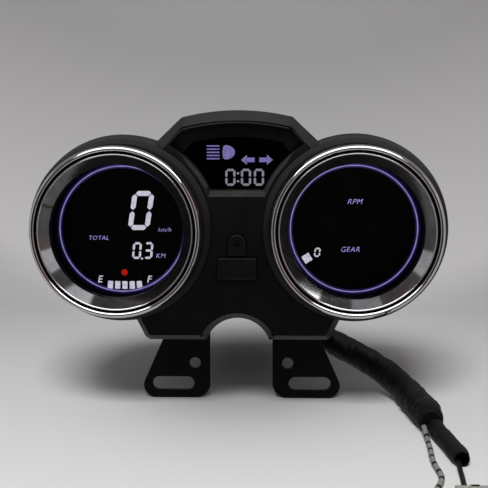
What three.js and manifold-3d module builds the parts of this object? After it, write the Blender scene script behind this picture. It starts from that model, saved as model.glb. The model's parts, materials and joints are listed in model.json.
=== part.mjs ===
// Motorcycle instrument cluster: two round electronic dials and a clock window in one moulded housing,
// on a slotted steel bracket, with its wiring harness. Millimetres, +Z up, the dials face -Y.
// The origin is the middle of the line through the bracket's two bolt slots, on its rear face.
import * as THREE from 'three';
import { mergeVertices } from 'three/addons/utils/BufferGeometryUtils.js';
import Module from 'manifold-3d';

const wasm = await Module();
wasm.setup();

// ---------- driving dimensions ----------
// Casing and dials are drawn in the dial frame: y is the depth behind the bezels' front plane,
// z is the height above the dial centres.
const DIAL_X = 69.8; // dial centre to the middle plane
const DIAL_Z = 108; // dial centres above the bolt line
const FACE_DEPTH = 78; // bezels' front plane to the bracket's rear face
const BEZEL_R = 50; // outer radius of the chrome bezel
const GAP = 0.3; // clearance between pieces that rest on each other

const POD_R = 57; // widest radius of a pod, at the seam
const POD_REAR_R = 46; // flat rear face of a pod
const POD_REAR = 66; // depth of that face
const SEAM = 40; // depth where the front and rear housings meet
const SEAL_T = 1; // thickness of the seam gasket
const REAR_START = SEAM + SEAL_T + 2 * GAP;
const CENTRE_REAR = 50; // depth of the rear wall between the pods
const PANEL = 20; // depth of the centre panel's front face
const PANEL_T = 2.8; // its thickness
const WALL = 2.6; // side wall thickness

const HOOD_TOP = 70.9; // apex of the hood
const HOOD_SHOULDER = [33.2, 66.8];
const HOOD_SIDE = [60, 41.4]; // the shoulder line runs on to here, inside the pod
const HOOD_CHAMFER = [7.6, 8]; // width and depth
const APRON_FOOT = -67.4; // lower edge of the apron
const APRON_CHAMFER = [4, 6];
const APRON_TOP = 30;
const ARCH_R = 20.2; // notch in the apron's lower edge
const ARCH_Z = -74.3;

const RIDGE_R = 58.6; // window sides follow the pods at this radius
const SILL_Z = 23.4; // lower edge of the window
const SILL_FRONT = [15.6, 19.7]; // half width and height of the sill's front edge
const POCKET_CORNER_Z = 50.9;
const POCKET_SHOULDER = [31.6, 59.7];
const POCKET_TOP = 62.7;
const POCKET_DEPTH = 27; // the pane rests on a ledge here
const LEDGE = 29.4; // back of the ledge

const SET_KEY = { half: 5.3, foot: -15.2, spring: -8.2 }; // arch-topped key
const MODE_KEY = { half: 11.7, foot: -29.8, top: -16.9 }; // rectangular key
const KEY_FRONT = 18.3;
const KEY_TRAVEL = 1.5;
const KEY_CLEARANCE = 0.3;
const KEY_FLANGE = 0.7; // how far the flange behind the panel stands out all round

const PLATE_T = 3; // bracket plate
const SLOT = { x: 45.7, length: 28, width: 8.9 };
const TAB_HOLE = { x: 31, z: 13.9, r: 3.7 };
const TAB_FOOT = -10; // lower edge of the tabs
const MOUNTS = [[-42, 82], [42, 82], [0, 132]]; // bushed bolts, above the bolt line

const SCREWS = [
  [DIAL_X + 34, 36], [DIAL_X + 34, -36], [-DIAL_X - 34, 36], [-DIAL_X - 34, -36],
  [40, -60.5], [-40, -60.5], [0, 65.6],
];
const WELL_FLOOR = 46; // the cover screws' heads rest at this depth
const BOSS_R = 3.7;
const GROMMET = [2, -41.5];

const FLOOR = TAB_FOOT; // the harness lies at the level of the tabs' lower edge
const TRUNK_D = 15;
const BRANCH_D = 8.5;
const MAIN_LEAD_D = 2.6;
const SENSOR_LEAD_D = 3;

// Centre lines of the harness, in the part's frame.
const TRUNK = [
  [2, -19, 66.5], [2, -15, 66.5], [3.4, -7, 65.8], [7.6, 1.8, 63], [13.6, 8.8, 58.7], [21.2, 13.2, 53.2],
  [31, 15.6, 46], [42, 16.5, 38.2], [54, 16.5, 30], [65, 16, 23], [76, 14.8, 17.2], [86.5, 12.3, 11.8],
  [95.5, 7, 6.8], [102.5, -1, 2.3], [107.3, -11.5, -1], [110, -24, -2.4], [111.4, -36, -2.4],
  [112.6, -47.5, -2.4], [113.6, -58, -2.4], [114, -67, -2.4], [114, -72, -2.4],
];
const BRANCH = [
  [115.3, -76.9, -4.2], [115.3, -79.5, -4.3], [115.7, -83.5, -4.9], [116.3, -87.5, -5.4],
  [116.8, -91, -5.65], [117.3, -95, -5.7], [117.8, -99, -5.7], [118.2, -103, -5.7], [118.6, -107, -5.7],
  [119, -111, -5.7], [119.4, -114.5, -5.7], [119.7, -118, -5.7], [120, -121.5, -5.7],
  [120.1, -125, -5.7], [120.1, -128.3, -5.7],
];
const SENSOR_LEAD = [
  [109, -76.9, -4.6], [109, -79.5, -5], [109, -83, -6.2], [109, -87, -7.5], [108.8, -92, -8.3],
  [108.4, -98, -8.4], [107.9, -104.5, -8.4], [107.2, -111, -8.4], [106.5, -118, -8.4], [106, -125, -8.4],
  [106, -132, -8.4], [106.3, -139, -8.4], [106.2, -146, -8.4], [104.6, -153, -8.4], [102, -160, -8.4],
  [99.4, -166.5, -7.8], [98.1, -172, -6.7], [98, -176.5, -6.2],
];
const MAIN_LEAD = [
  [118, -128.7, -7], [118, -131, -7.3], [117.8, -134, -8], [117.4, -137.5, -8.5], [117, -141.5, -8.6],
  [116.6, -145.5, -8.6], [116.1, -149.5, -8.6], [115.6, -153.5, -8.6], [115.1, -157.5, -8.6],
  [114.7, -161.5, -8.4], [114.4, -165.5, -7.6], [114.2, -169.5, -6.4], [114.1, -173, -5.4],
  [114.1, -176.5, -5],
];

// ---------- materials ----------
const paint = (color, roughness, metalness = 0, more = {}) =>
  new THREE.MeshStandardMaterial({ color, roughness, metalness, ...more });
const HOUSING = paint(0x17181a, 0.62);
const CHROME = paint(0xd8dadc, 0.1, 1);
const SATIN = paint(0x9a9c9e, 0.3, 1);
const CLEAR = paint(0xe8eef2, 0.05, 0, { transparent: true, opacity: 0.25 });
const SMOKED = paint(0x08080a, 0.08, 0, { transparent: true, opacity: 0.6 });
const BLACK = paint(0x0a0a0b, 0.5);
const RUBBER = paint(0x101011, 0.85);
const DISPLAY = paint(0x060608, 0.15);
const GLOW = paint(0xb9aeff, 0.4, 0, { emissive: 0x8c7cff });
const DIFFUSER = paint(0xe6e6ea, 0.6);
const BOARD = paint(0x16502e, 0.5);
const STEEL = paint(0x0c0c0d, 0.45, 0.4);
const ZINC = paint(0xa8aaad, 0.35, 1);
const SLEEVE = paint(0x0d0e0e, 0.7);
const GREY_LEAD = paint(0xb9b9b4, 0.6);
const NYLON = paint(0xd9d6cc, 0.5);

// ---------- geometry helpers ----------
const radians = (degrees) => (degrees * Math.PI) / 180;
const mirror = ([x, z]) => [-x, z];

// Turn a closed geometry into a solid with its faces pointing out.
function solid(geometry) {
  const bare = geometry.clone();
  bare.deleteAttribute('normal');
  bare.deleteAttribute('uv');
  const merged = mergeVertices(bare, 1e-4);
  const place = merged.getAttribute('position').array;
  const index = merged.getIndex().array;
  const corner = (i) => new THREE.Vector3().fromArray(place, 3 * i);
  const triangles = [];
  let volume = 0;
  for (let i = 0; i < index.length; i += 3) {
    const [a, b, c] = index.slice(i, i + 3);
    if (a === b || b === c || c === a) continue;
    triangles.push([a, b, c]);
    volume += corner(a).dot(corner(b).cross(corner(c)));
  }
  const turned = volume < 0 ? triangles.map(([a, b, c]) => [a, c, b]) : triangles;
  return new wasm.Manifold(new wasm.Mesh({
    numProp: 3,
    vertProperties: new Float32Array(place),
    triVerts: new Uint32Array(turned.flat()),
  }));
}

const join = (...solids) => solids.reduce((sum, next) => sum.add(next));
const cut = (body, ...tools) => tools.reduce((rest, tool) => rest.subtract(tool), body);

function toGeometry(body) {
  const { vertProperties, triVerts } = body.getMesh();
  const geometry = new THREE.BufferGeometry();
  geometry.setAttribute('position', new THREE.BufferAttribute(new Float32Array(vertProperties), 3));
  geometry.setIndex([...triVerts]);
  geometry.computeVertexNormals();
  return geometry;
}

function piece(name, body, material, parent) {
  const mesh = new THREE.Mesh(toGeometry(body), material);
  mesh.name = name;
  parent.add(mesh);
}

// A solid of revolution about the depth axis, through [x, z]; the profile is [radius, depth] pairs.
function spin(profile, sides, [x, z] = [0, 0]) {
  const points = profile.map(([r, y]) => new THREE.Vector2(r, y));
  const onAxis = profile[0][0] === 0 && profile.at(-1)[0] === 0;
  if (!onAxis) points.push(points[0].clone());
  return solid(new THREE.LatheGeometry(points, sides).translate(x, 0, z));
}

const disc = (radius, front, back, sides, at) =>
  spin([[0, front], [radius, front], [radius, back], [0, back]], sides, at);
const ring = (inner, outer, front, back, sides, at) =>
  spin([[inner, front], [outer, front], [outer, back], [inner, back]], sides, at);

const toShape = (outline) => new THREE.Shape(outline.map(([x, z]) => new THREE.Vector2(x, z)));

// An outline in x and z, made into a slab between two depths.
function slab(outline, front, back, holes = []) {
  const shape = toShape(outline);
  shape.holes = holes.map(toShape);
  const geometry = new THREE.ExtrudeGeometry(shape, { depth: back - front, bevelEnabled: false });
  return solid(geometry.rotateX(Math.PI / 2).translate(0, back, 0));
}

const block = ([x0, x1], [y0, y1], [z0, z1]) =>
  solid(new THREE.BoxGeometry(x1 - x0, y1 - y0, z1 - z0)
    .translate((x0 + x1) / 2, (y0 + y1) / 2, (z0 + z1) / 2));

// The same slab with a chamfer all round its front edge, or round its rear edge.
function chamferedSlab(outline, front, back, [width, depth], rear = false) {
  const geometry = new THREE.ExtrudeGeometry(toShape(outline), {
    depth: back - front - depth,
    bevelThickness: depth,
    bevelSize: width,
    bevelOffset: -width,
    bevelSegments: 1,
  });
  const start = rear ? back - depth : back;
  const body = solid(geometry.rotateX(Math.PI / 2).translate(0, start, 0));
  return body.intersect(block([-200, 200], [front, back], [-200, 200]));
}

// Move every edge of an anticlockwise outline inwards.
function inset(outline, distance) {
  const count = outline.length;
  return outline.map((here, i) => {
    const before = outline[(i + count - 1) % count];
    const after = outline[(i + 1) % count];
    const normal = ([ax, az], [bx, bz]) => {
      const length = Math.hypot(bx - ax, bz - az);
      return [(az - bz) / length, (bx - ax) / length];
    };
    const [px, pz] = normal(before, here);
    const [qx, qz] = normal(here, after);
    const scale = distance / (1 + px * qx + pz * qz);
    return [here[0] + (px + qx) * scale, here[1] + (pz + qz) * scale];
  });
}

function arc([cx, cz], radius, from, to, steps) {
  return Array.from({ length: steps + 1 }, (_, i) => {
    const angle = radians(from + ((to - from) * i) / steps);
    return [cx + radius * Math.cos(angle), cz + radius * Math.sin(angle)];
  });
}

// A shallow arc over the top, from the right shoulder to the left one.
function topArc([x, z], apex, steps) {
  const radius = (x * x + (apex - z) ** 2) / (2 * (apex - z));
  const half = (Math.asin(x / radius) * 180) / Math.PI;
  return arc([0, apex - radius], radius, 90 - half, 90 + half, steps);
}

// ---------- outlines, anticlockwise ----------
const hoodOutline = [
  [-HOOD_SIDE[0], -10], [HOOD_SIDE[0], -10], HOOD_SIDE,
  ...topArc(HOOD_SHOULDER, HOOD_TOP, 6), mirror(HOOD_SIDE),
];

const archFoot = (Math.asin((APRON_FOOT - ARCH_Z) / ARCH_R) * 180) / Math.PI;
const apronSide = [[53.5, APRON_FOOT], [56.3, -65.7], [61.7, -55], [66, -46], [66, APRON_TOP]];
const apronOutline = [
  ...arc([0, ARCH_Z], ARCH_R, 180 - archFoot, archFoot, 10), ...apronSide,
  ...apronSide.map(mirror).reverse(),
];

const sillAngle = 180 - (Math.asin(SILL_Z / RIDGE_R) * 180) / Math.PI;
const cornerAngle = 180 - (Math.asin(POCKET_CORNER_Z / RIDGE_R) * 180) / Math.PI;
const ridgeArc = arc([DIAL_X, 0], RIDGE_R, sillAngle, cornerAngle, 6);
const pocketOutline = [
  ...ridgeArc, ...topArc(POCKET_SHOULDER, POCKET_TOP, 6), ...ridgeArc.map(mirror).reverse(),
];

const setKeyOutline = (grow) => [
  [-SET_KEY.half - grow, SET_KEY.foot - grow], [SET_KEY.half + grow, SET_KEY.foot - grow],
  ...arc([0, SET_KEY.spring], SET_KEY.half + grow, 0, 180, 10),
];
const modeKeyOutline = (grow) => {
  const x = MODE_KEY.half + grow;
  return [[-x, MODE_KEY.foot - grow], [x, MODE_KEY.foot - grow], [x, MODE_KEY.top + grow],
    [-x, MODE_KEY.top + grow]];
};

// ---------- casing ----------
const SIDES = ['left', 'right'];
const dialAt = (side) => [side === 'left' ? -DIAL_X : DIAL_X, 0];
const bothPods = (make) => join(...SIDES.map((side) => make(dialAt(side))));
const POD_SIDES = 36;
const LIP = { r: 48.6, bore: 46.2, front: 6.4, shelf: 17.4, shelfBore: 41.8 };

function frontHousing() {
  const pods = bothPods((at) => spin([
    [0, LIP.front], [LIP.r, LIP.front], [LIP.r, 15.9], [51.2, 16.2], [55.6, 27], [POD_R, 32],
    [POD_R, SEAM], [0, SEAM],
  ], POD_SIDES, at));
  const hood = chamferedSlab(hoodOutline, PANEL, SEAM, HOOD_CHAMFER);
  const apron = chamferedSlab(apronOutline, PANEL, SEAM, APRON_CHAMFER);
  const bores = bothPods((at) => spin([
    [0, 4], [LIP.bore, 4], [LIP.bore, LIP.shelf], [LIP.shelfBore, LIP.shelf], [LIP.shelfBore, 19.6],
    [48.4, 19.6], [53.2, 30], [53.2, SEAM + 1], [0, SEAM + 1],
  ], POD_SIDES, at));
  const podShells = bothPods((at) => disc(POD_R - 0.8, PANEL, SEAM + 2, POD_SIDES, at));
  const cavity = join(
    slab(inset(hoodOutline, WALL), LEDGE, SEAM + 1),
    slab(inset(apronOutline, APRON_CHAMFER[0] + 1.5), PANEL + PANEL_T, SEAM + 1),
  ).subtract(podShells);
  const pocket = slab(pocketOutline, 10, POCKET_DEPTH);
  const [sillX, sillZ] = SILL_FRONT;
  const sill = sillWedge(sillX, sillZ);
  const opening = slab(inset(pocketOutline, 2.6), 10, LEDGE + 1);
  const keyholes = [setKeyOutline, modeKeyOutline].map((key) => slab(key(KEY_CLEARANCE), 10, 30));
  const bosses = SCREWS.map((at) => disc(BOSS_R, 31, SEAM, 8, at));
  const shell = cut(join(pods, hood, apron), bores, cavity, pocket, sill, opening, ...keyholes);
  const pilots = SCREWS.map((at) => disc(1.8, 34, SEAM + 1, 6, at));
  return cut(join(shell, ...bosses), ...pilots);
}

// The sloping sill under the window: a wedge cut out between the panel's face and the pane.
function sillWedge(halfWidth, frontZ) {
  const section = toShape([[PANEL - 1, frontZ - 0.6], [24.6, SILL_Z + 0.2], [PANEL - 1, SILL_Z + 1]]);
  const geometry = new THREE.ExtrudeGeometry(section, { depth: 2 * halfWidth, bevelEnabled: false });
  // The section is drawn in depth and height, and runs along x.
  geometry.applyMatrix4(new THREE.Matrix4().set(0, 0, 1, -halfWidth, 1, 0, 0, 0, 0, 1, 0, 0, 0, 0, 0, 1));
  return solid(geometry);
}

const HOLE_R = 3.4; // clearance round an M6 bolt
const toDial = ([x, z]) => [x, z - DIAL_Z];

function rearHousing() {
  const outer = join(
    bothPods((at) => spin([
      [0, REAR_START], [POD_R, REAR_START], [POD_R, 44], [54, 54.5], [50.5, 62], [POD_REAR_R, POD_REAR],
      [0, POD_REAR],
    ], POD_SIDES, at)),
    chamferedSlab(hoodOutline, REAR_START, CENTRE_REAR, [4, 4], true),
    chamferedSlab(apronOutline, REAR_START, CENTRE_REAR, [4, 4], true),
  );
  const podCavity = bothPods((at) => spin([
    [0, SEAM], [53.2, SEAM], [53.2, 44], [50.6, 53.6], [47.4, 60.6], [44.6, 63.2], [0, 63.2],
  ], POD_SIDES, at));
  const podShells = bothPods((at) => disc(POD_R - 0.8, SEAM - 1, CENTRE_REAR, POD_SIDES, at));
  const centreCavity = join(
    slab(inset(hoodOutline, WALL + 2), SEAM, CENTRE_REAR - 2.8),
    slab(inset(apronOutline, WALL + 2), SEAM, CENTRE_REAR - 2.8),
  ).subtract(podShells);
  const towers = join(...SCREWS.map((at) => disc(5.4, REAR_START, POD_REAR, 10, at))).intersect(outer);
  const [left, right, top] = MOUNTS.map(toDial);
  const inserts = [left, right].map((at) => disc(7, 54, POD_REAR, 10, at));
  const topBoss = disc(8.5, 44, POD_REAR, 16, top);
  const shell = join(outer.subtract(join(podCavity, centreCavity)), towers, ...inserts, topBoss);
  const wells = SCREWS.map((at) => disc(4, WELL_FLOOR, POD_REAR + 1, 10, at));
  const pilots = SCREWS.map((at) => disc(1.8, SEAM, WELL_FLOOR + 1, 6, at));
  const boltHoles = MOUNTS.map(toDial).map((at) => disc(HOLE_R, 57, POD_REAR + 1, 10, at));
  const cableHole = disc(9, CENTRE_REAR - 4, CENTRE_REAR + 1, 16, GROMMET);
  return cut(shell, ...wells, ...pilots, ...boltHoles, cableHole);
}

function housingSeal() {
  const layer = (margin, front, back) => join(
    bothPods((at) => disc(POD_R - margin, front, back, POD_SIDES, at)),
    slab(inset(hoodOutline, margin), front, back),
    slab(inset(apronOutline, margin), front, back),
  );
  const [front, back] = [SEAM + GAP, SEAM + GAP + SEAL_T];
  return layer(0.6, front, back).subtract(layer(2, front - 1, back + 1));
}

function coverScrew(at) {
  const head = WELL_FLOOR + GAP;
  return spin([[0, 35.5], [1.4, 36], [1.4, head], [3.2, head], [3.2, head + 1.4], [2.2, head + 2.3],
    [0, head + 2.3]], 8, at);
}

// ---------- dials ----------
const RING_SIDES = 32;
const HIDDEN_SIDES = 20;

const bezel = () => spin([
  [46.3, 4.7], [46.3, 2.3], [47.1, 0.6], [48, 0], [49.1, 0.6], [BEZEL_R, 2.3], [BEZEL_R, 15.5],
  [49, 15.5], [49, 4.7],
], RING_SIDES);

const trimRing = () => spin([
  [44.5, 0.9], [45.3, 1], [45.9, 2.2], [45.9, 5], [48.4, 5], [48.4, 6.1], [45.9, 6.1], [45.9, 13.2],
  [39.3, 13.2], [43.9, 1.4],
], RING_SIDES);

const displayMask = () => spin([
  [39.3, 26.3], [45.6, 25.3], [45.6, 33.6], [44.4, 33.6], [44.4, 29.8], [39.3, 29.8],
], RING_SIDES);

function addDial(side, parent) {
  const dial = new THREE.Group();
  dial.position.set(dialAt(side)[0], 0, 0);
  parent.add(dial);
  const layers = {
    bezel: [bezel(), CHROME],
    trim_ring: [trimRing(), SATIN],
    lens: [disc(45.8, 13.5, 15.5, HIDDEN_SIDES), CLEAR],
    lens_gasket: [ring(42.2, 45.8, 15.8, 17.1, HIDDEN_SIDES), RUBBER],
    display_mask: [displayMask(), BLACK],
    light_ring: [ring(37.1, 38.9, 26.6, 29.3, RING_SIDES), GLOW],
    lcd: [disc(36.8, 27.2, 29.2, HIDDEN_SIDES), DISPLAY],
    backlight: [disc(43.9, 30.1, 32.6, HIDDEN_SIDES), DIFFUSER],
    circuit_board: [disc(45, 34, 35.6, HIDDEN_SIDES), BOARD],
  };
  for (const [layer, [body, material]] of Object.entries(layers)) {
    piece(`${side}_${layer}`, body, material, dial);
  }
}

// ---------- clock window, keys and their board ----------
const clearOfPods = (body) =>
  body.subtract(bothPods((at) => disc(POD_R - 0.1, 25, 60, POD_SIDES, at)));

function centreBoard() {
  const outline = [[-30, -40], [30, -40], [30, 57], [-30, 57]];
  return clearOfPods(slab(outline, 34.3, 35.9));
}

function key(outline, postAt) {
  const cap = slab(outline(0), KEY_FRONT, 23.3);
  const flange = slab(outline(KEY_FLANGE), 23.2, 24.4);
  const post = disc(1.8, 24, 27, 12, postAt);
  return join(cap, flange, post);
}

function tactSwitch([x, z]) {
  const actuatorTip = 27 + KEY_TRAVEL + GAP;
  const body = block([x - 3, x + 3], [30.6, 34], [z - 3, z + 3]);
  return body.add(disc(1.7, actuatorTip, 31, 12, [x, z]));
}

function addCentre(parent) {
  const setPost = [0, SET_KEY.spring - 1.5];
  const modePost = [0, (MODE_KEY.foot + MODE_KEY.top) / 2];
  const topBoss = disc(BOSS_R + GAP, 25, 40, 12, SCREWS.at(-1));
  const tray = slab(inset(pocketOutline, 0.2), LEDGE + GAP, 34, [inset(pocketOutline, 2)]).subtract(topBoss);
  const paneOutline = inset(pocketOutline, GAP);
  piece('centre_window', slab(paneOutline, 24.6, POCKET_DEPTH - GAP), SMOKED, parent);
  piece('centre_lcd', slab(inset(pocketOutline, 2.3), 29.8, 31.5), DISPLAY, parent);
  piece('centre_lcd_frame', tray, BLACK, parent);
  piece('centre_backlight', slab(inset(pocketOutline, 2.3), 31.8, 33.9), DIFFUSER, parent);
  piece('main_circuit_board', centreBoard(), BOARD, parent);
  piece('set_button', key(setKeyOutline, setPost), BLACK, parent);
  piece('mode_button', key(modeKeyOutline, modePost), BLACK, parent);
  piece('set_switch', tactSwitch(setPost), BLACK, parent);
  piece('mode_switch', tactSwitch(modePost), BLACK, parent);
}

// ---------- bracket and its fasteners, in the part's frame ----------
function bracketHalf() {
  const half = new THREE.Path();
  half.moveTo(0, 80);
  half.lineTo(14.8, 80);
  half.absarc(14.8, 74, 6, Math.PI / 2, 0, true); // top of the notch
  half.lineTo(20.8, 0);
  half.absarc(30.8, 0, 10, Math.PI, Math.PI * 1.5, false); // inner lower corner
  half.lineTo(57.3, TAB_FOOT);
  half.absarc(57.3, -1.5, 8.5, -Math.PI / 2, 0.4, false); // outer lower corner
  half.lineTo(52.5, 30);
  half.lineTo(52.5, 82);
  half.absarc(42, 82, 10.5, 0, Math.PI / 2, false); // round the lower bush
  half.lineTo(16.5, 92.5);
  half.absarc(16.5, 98.5, 6, -Math.PI / 2, -Math.PI, true); // foot of the tongue
  half.lineTo(10.5, 132);
  half.absarc(0, 132, 10.5, 0, Math.PI / 2, false); // round the upper bush
  return half.getPoints(3).map(({ x, y }) => [x, y]);
}

function mountingBracket() {
  const right = bracketHalf();
  const outline = [...right.slice(0, -1), ...right.slice(1).reverse().map(mirror)];
  const reach = (SLOT.length - SLOT.width) / 2;
  const slot = (x) => [
    ...arc([x + reach, 0], SLOT.width / 2, -90, 90, 6), ...arc([x - reach, 0], SLOT.width / 2, 90, 270, 6),
  ];
  const round = ([x, z], r) => arc([x, z], r, 0, 330, 11);
  const holes = [
    slot(SLOT.x), slot(-SLOT.x),
    round([TAB_HOLE.x, TAB_HOLE.z], TAB_HOLE.r), round([-TAB_HOLE.x, TAB_HOLE.z], TAB_HOLE.r),
    ...MOUNTS.map((at) => round(at, 3.6)),
  ];
  return slab(outline, -PLATE_T, 0, holes);
}

function mountBolt(at) {
  const seat = 2.1;
  const head = disc(5.2, seat + 1, seat + 5, 6, at);
  const flange = disc(6.6, seat, seat + 1.2, 12, at);
  const shank = disc(3, -18, seat + 0.5, 8, at);
  return join(head, flange, shank);
}

function addBracket(parent) {
  const housingRear = POD_REAR - FACE_DEPTH;
  piece('mounting_bracket', mountingBracket(), STEEL, parent);
  MOUNTS.forEach((at, i) => {
    const bush = ring(HOLE_R, 7.5, housingRear + GAP, -PLATE_T - GAP, 12, at);
    piece(`bracket_bush_${i + 1}`, bush, RUBBER, parent);
    piece(`bracket_washer_${i + 1}`, ring(HOLE_R, 8.5, GAP, 1.8, 12, at), ZINC, parent);
    piece(`bracket_bolt_${i + 1}`, mountBolt(at), ZINC, parent);
  });
}

// ---------- harness, in the part's frame ----------
function tube(route, diameter, sides, steps) {
  const path = new THREE.CatmullRomCurve3(route.map((point) => new THREE.Vector3(...point)));
  const section = toShape(arc([0, 0], diameter / 2, 0, 360 - 360 / sides, sides - 1));
  return solid(new THREE.ExtrudeGeometry(section, { steps, bevelEnabled: false, extrudePath: path }));
}

function grommet() {
  const at = [GROMMET[0], GROMMET[1] + DIAL_Z];
  const wall = CENTRE_REAR - FACE_DEPTH;
  const exit = TRUNK[0][1] - GAP;
  return spin([[0, wall - 3.2], [8.7, wall - 3.2], [8.7, wall + GAP], [11.5, wall + GAP], [11.5, wall + 2.3],
    [9.6, wall + 3], [8, exit], [0, exit]], 12, at);
}

// Where the trunk ends and its branches leave.
function branchBoot() {
  const [x, y, z] = TRUNK.at(-1);
  const profile = [[0, y - GAP], [7.2, y - GAP], [7, y - 2.5], [6.2, BRANCH[0][1] + GAP], [0, BRANCH[0][1] + GAP]];
  return spin(profile, 12, [x - 0.6, z]);
}

// A moulded connector: wide body on the floor, narrower collar at the lead's end.
function connector([x, y], [width, length, height]) {
  const body = block([x - width / 2, x + width / 2], [y - length, y - 4], [FLOOR, FLOOR + height]);
  const collar = block([x - width * 0.38, x + width * 0.38], [y - 5, y - GAP],
    [FLOOR + height * 0.14, FLOOR + height * 0.86]);
  const latch = block([x - width * 0.14, x + width * 0.14], [y - length * 0.75, y - 5],
    [FLOOR + height - 0.5, FLOOR + height + 1.5]);
  return join(body, collar, latch);
}

function addHarness(parent) {
  piece('harness_grommet', grommet(), RUBBER, parent);
  piece('harness_sleeve', tube(TRUNK, TRUNK_D, 10, 28), SLEEVE, parent);
  piece('branch_boot', branchBoot(), RUBBER, parent);
  piece('branch_sleeve', tube(BRANCH, BRANCH_D, 8, 10), SLEEVE, parent);
  piece('sensor_lead', tube(SENSOR_LEAD, SENSOR_LEAD_D, 8, 16), GREY_LEAD, parent);
  piece('main_lead', tube(MAIN_LEAD, MAIN_LEAD_D, 8, 10), SLEEVE, parent);
  piece('main_connector', connector(MAIN_LEAD.at(-1), [19, 27, 11]), NYLON, parent);
  piece('sensor_connector', connector(SENSOR_LEAD.at(-1), [9, 21, 8]), NYLON, parent);
}

// ---------- assembly ----------
const cluster = new THREE.Group();
const dialFrame = new THREE.Group();
dialFrame.position.set(0, -FACE_DEPTH, DIAL_Z);
cluster.add(dialFrame);

piece('front_housing', frontHousing(), HOUSING, dialFrame);
piece('rear_housing', rearHousing(), HOUSING, dialFrame);
piece('housing_seal', housingSeal(), RUBBER, dialFrame);
SCREWS.forEach((at, i) => piece(`cover_screw_${i + 1}`, coverScrew(at), ZINC, dialFrame));
SIDES.forEach((side) => addDial(side, dialFrame));
addCentre(dialFrame);
addBracket(cluster);
addHarness(cluster);

export default cluster;
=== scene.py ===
"""Motorcycle instrument cluster: the looks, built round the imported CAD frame.

Lengths are millimetres until build() turns them to metres. The casing and dials are drawn in the dial
frame: x to the right, depth behind the bezels' front plane, z above the dial centres. The bracket and the
harness are drawn in the row frame.
"""

import json
import math
from contextlib import contextmanager

import bmesh
import bpy
from mathutils import Matrix, Vector, geometry, noise


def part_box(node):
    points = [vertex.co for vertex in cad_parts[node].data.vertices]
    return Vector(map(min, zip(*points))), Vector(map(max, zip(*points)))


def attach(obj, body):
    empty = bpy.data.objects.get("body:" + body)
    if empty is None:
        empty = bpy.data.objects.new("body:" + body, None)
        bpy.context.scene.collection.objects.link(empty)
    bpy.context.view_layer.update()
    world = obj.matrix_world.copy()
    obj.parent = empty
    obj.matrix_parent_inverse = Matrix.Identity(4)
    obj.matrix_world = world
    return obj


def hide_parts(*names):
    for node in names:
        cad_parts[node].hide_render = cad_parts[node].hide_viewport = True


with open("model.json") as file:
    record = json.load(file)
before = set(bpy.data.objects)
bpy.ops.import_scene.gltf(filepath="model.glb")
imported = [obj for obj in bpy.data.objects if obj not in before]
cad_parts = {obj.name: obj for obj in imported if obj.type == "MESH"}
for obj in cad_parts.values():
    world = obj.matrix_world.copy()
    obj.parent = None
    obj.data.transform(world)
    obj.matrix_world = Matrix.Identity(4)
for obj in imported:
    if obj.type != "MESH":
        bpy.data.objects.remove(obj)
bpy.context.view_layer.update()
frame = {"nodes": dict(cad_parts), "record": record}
MM = 0.001
NATURAL = 2.718
SIDES = {"left": -1, "right": 1}

# ---------- places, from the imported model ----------
bezel_low, bezel_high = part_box("right_bezel")
DIAL_X = (bezel_low.x + bezel_high.x) / 2 / MM
DIAL_Z = (bezel_low.z + bezel_high.z) / 2 / MM
FACE_Y = bezel_low.y / MM
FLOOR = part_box("mounting_bracket")[0].z / MM


def in_dials(x, depth, z):
    """A point of the dial frame, in the row frame."""
    return (x, FACE_Y + depth, DIAL_Z + z)


def to_dial(x, z):
    return (x, z - DIAL_Z)


# ---------- camera ----------
camera_data = bpy.data.cameras.new("camera")
camera_data.sensor_width = 36
camera_data.lens = 62.71
camera_data.clip_start = 0.01
camera_data.clip_end = 20
camera = bpy.data.objects.new("camera", camera_data)
camera.location = (0.02392, -0.56088, 0.15098)
camera.rotation_euler = [math.radians(a) for a in (84.174, 0.211, 2.221)]
bpy.context.scene.collection.objects.link(camera)
bpy.context.scene.camera = camera

# ---------- material kit ----------


def srgb(red, green, blue):
    """A colour given by its 0 to 255 values, as the linear colour that a shader takes."""
    parts = [v / 255 for v in (red, green, blue)]
    return tuple(p / 12.92 if p <= 0.04045 else ((p + 0.055) / 1.055) ** 2.4 for p in parts) + (1,)


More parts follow.
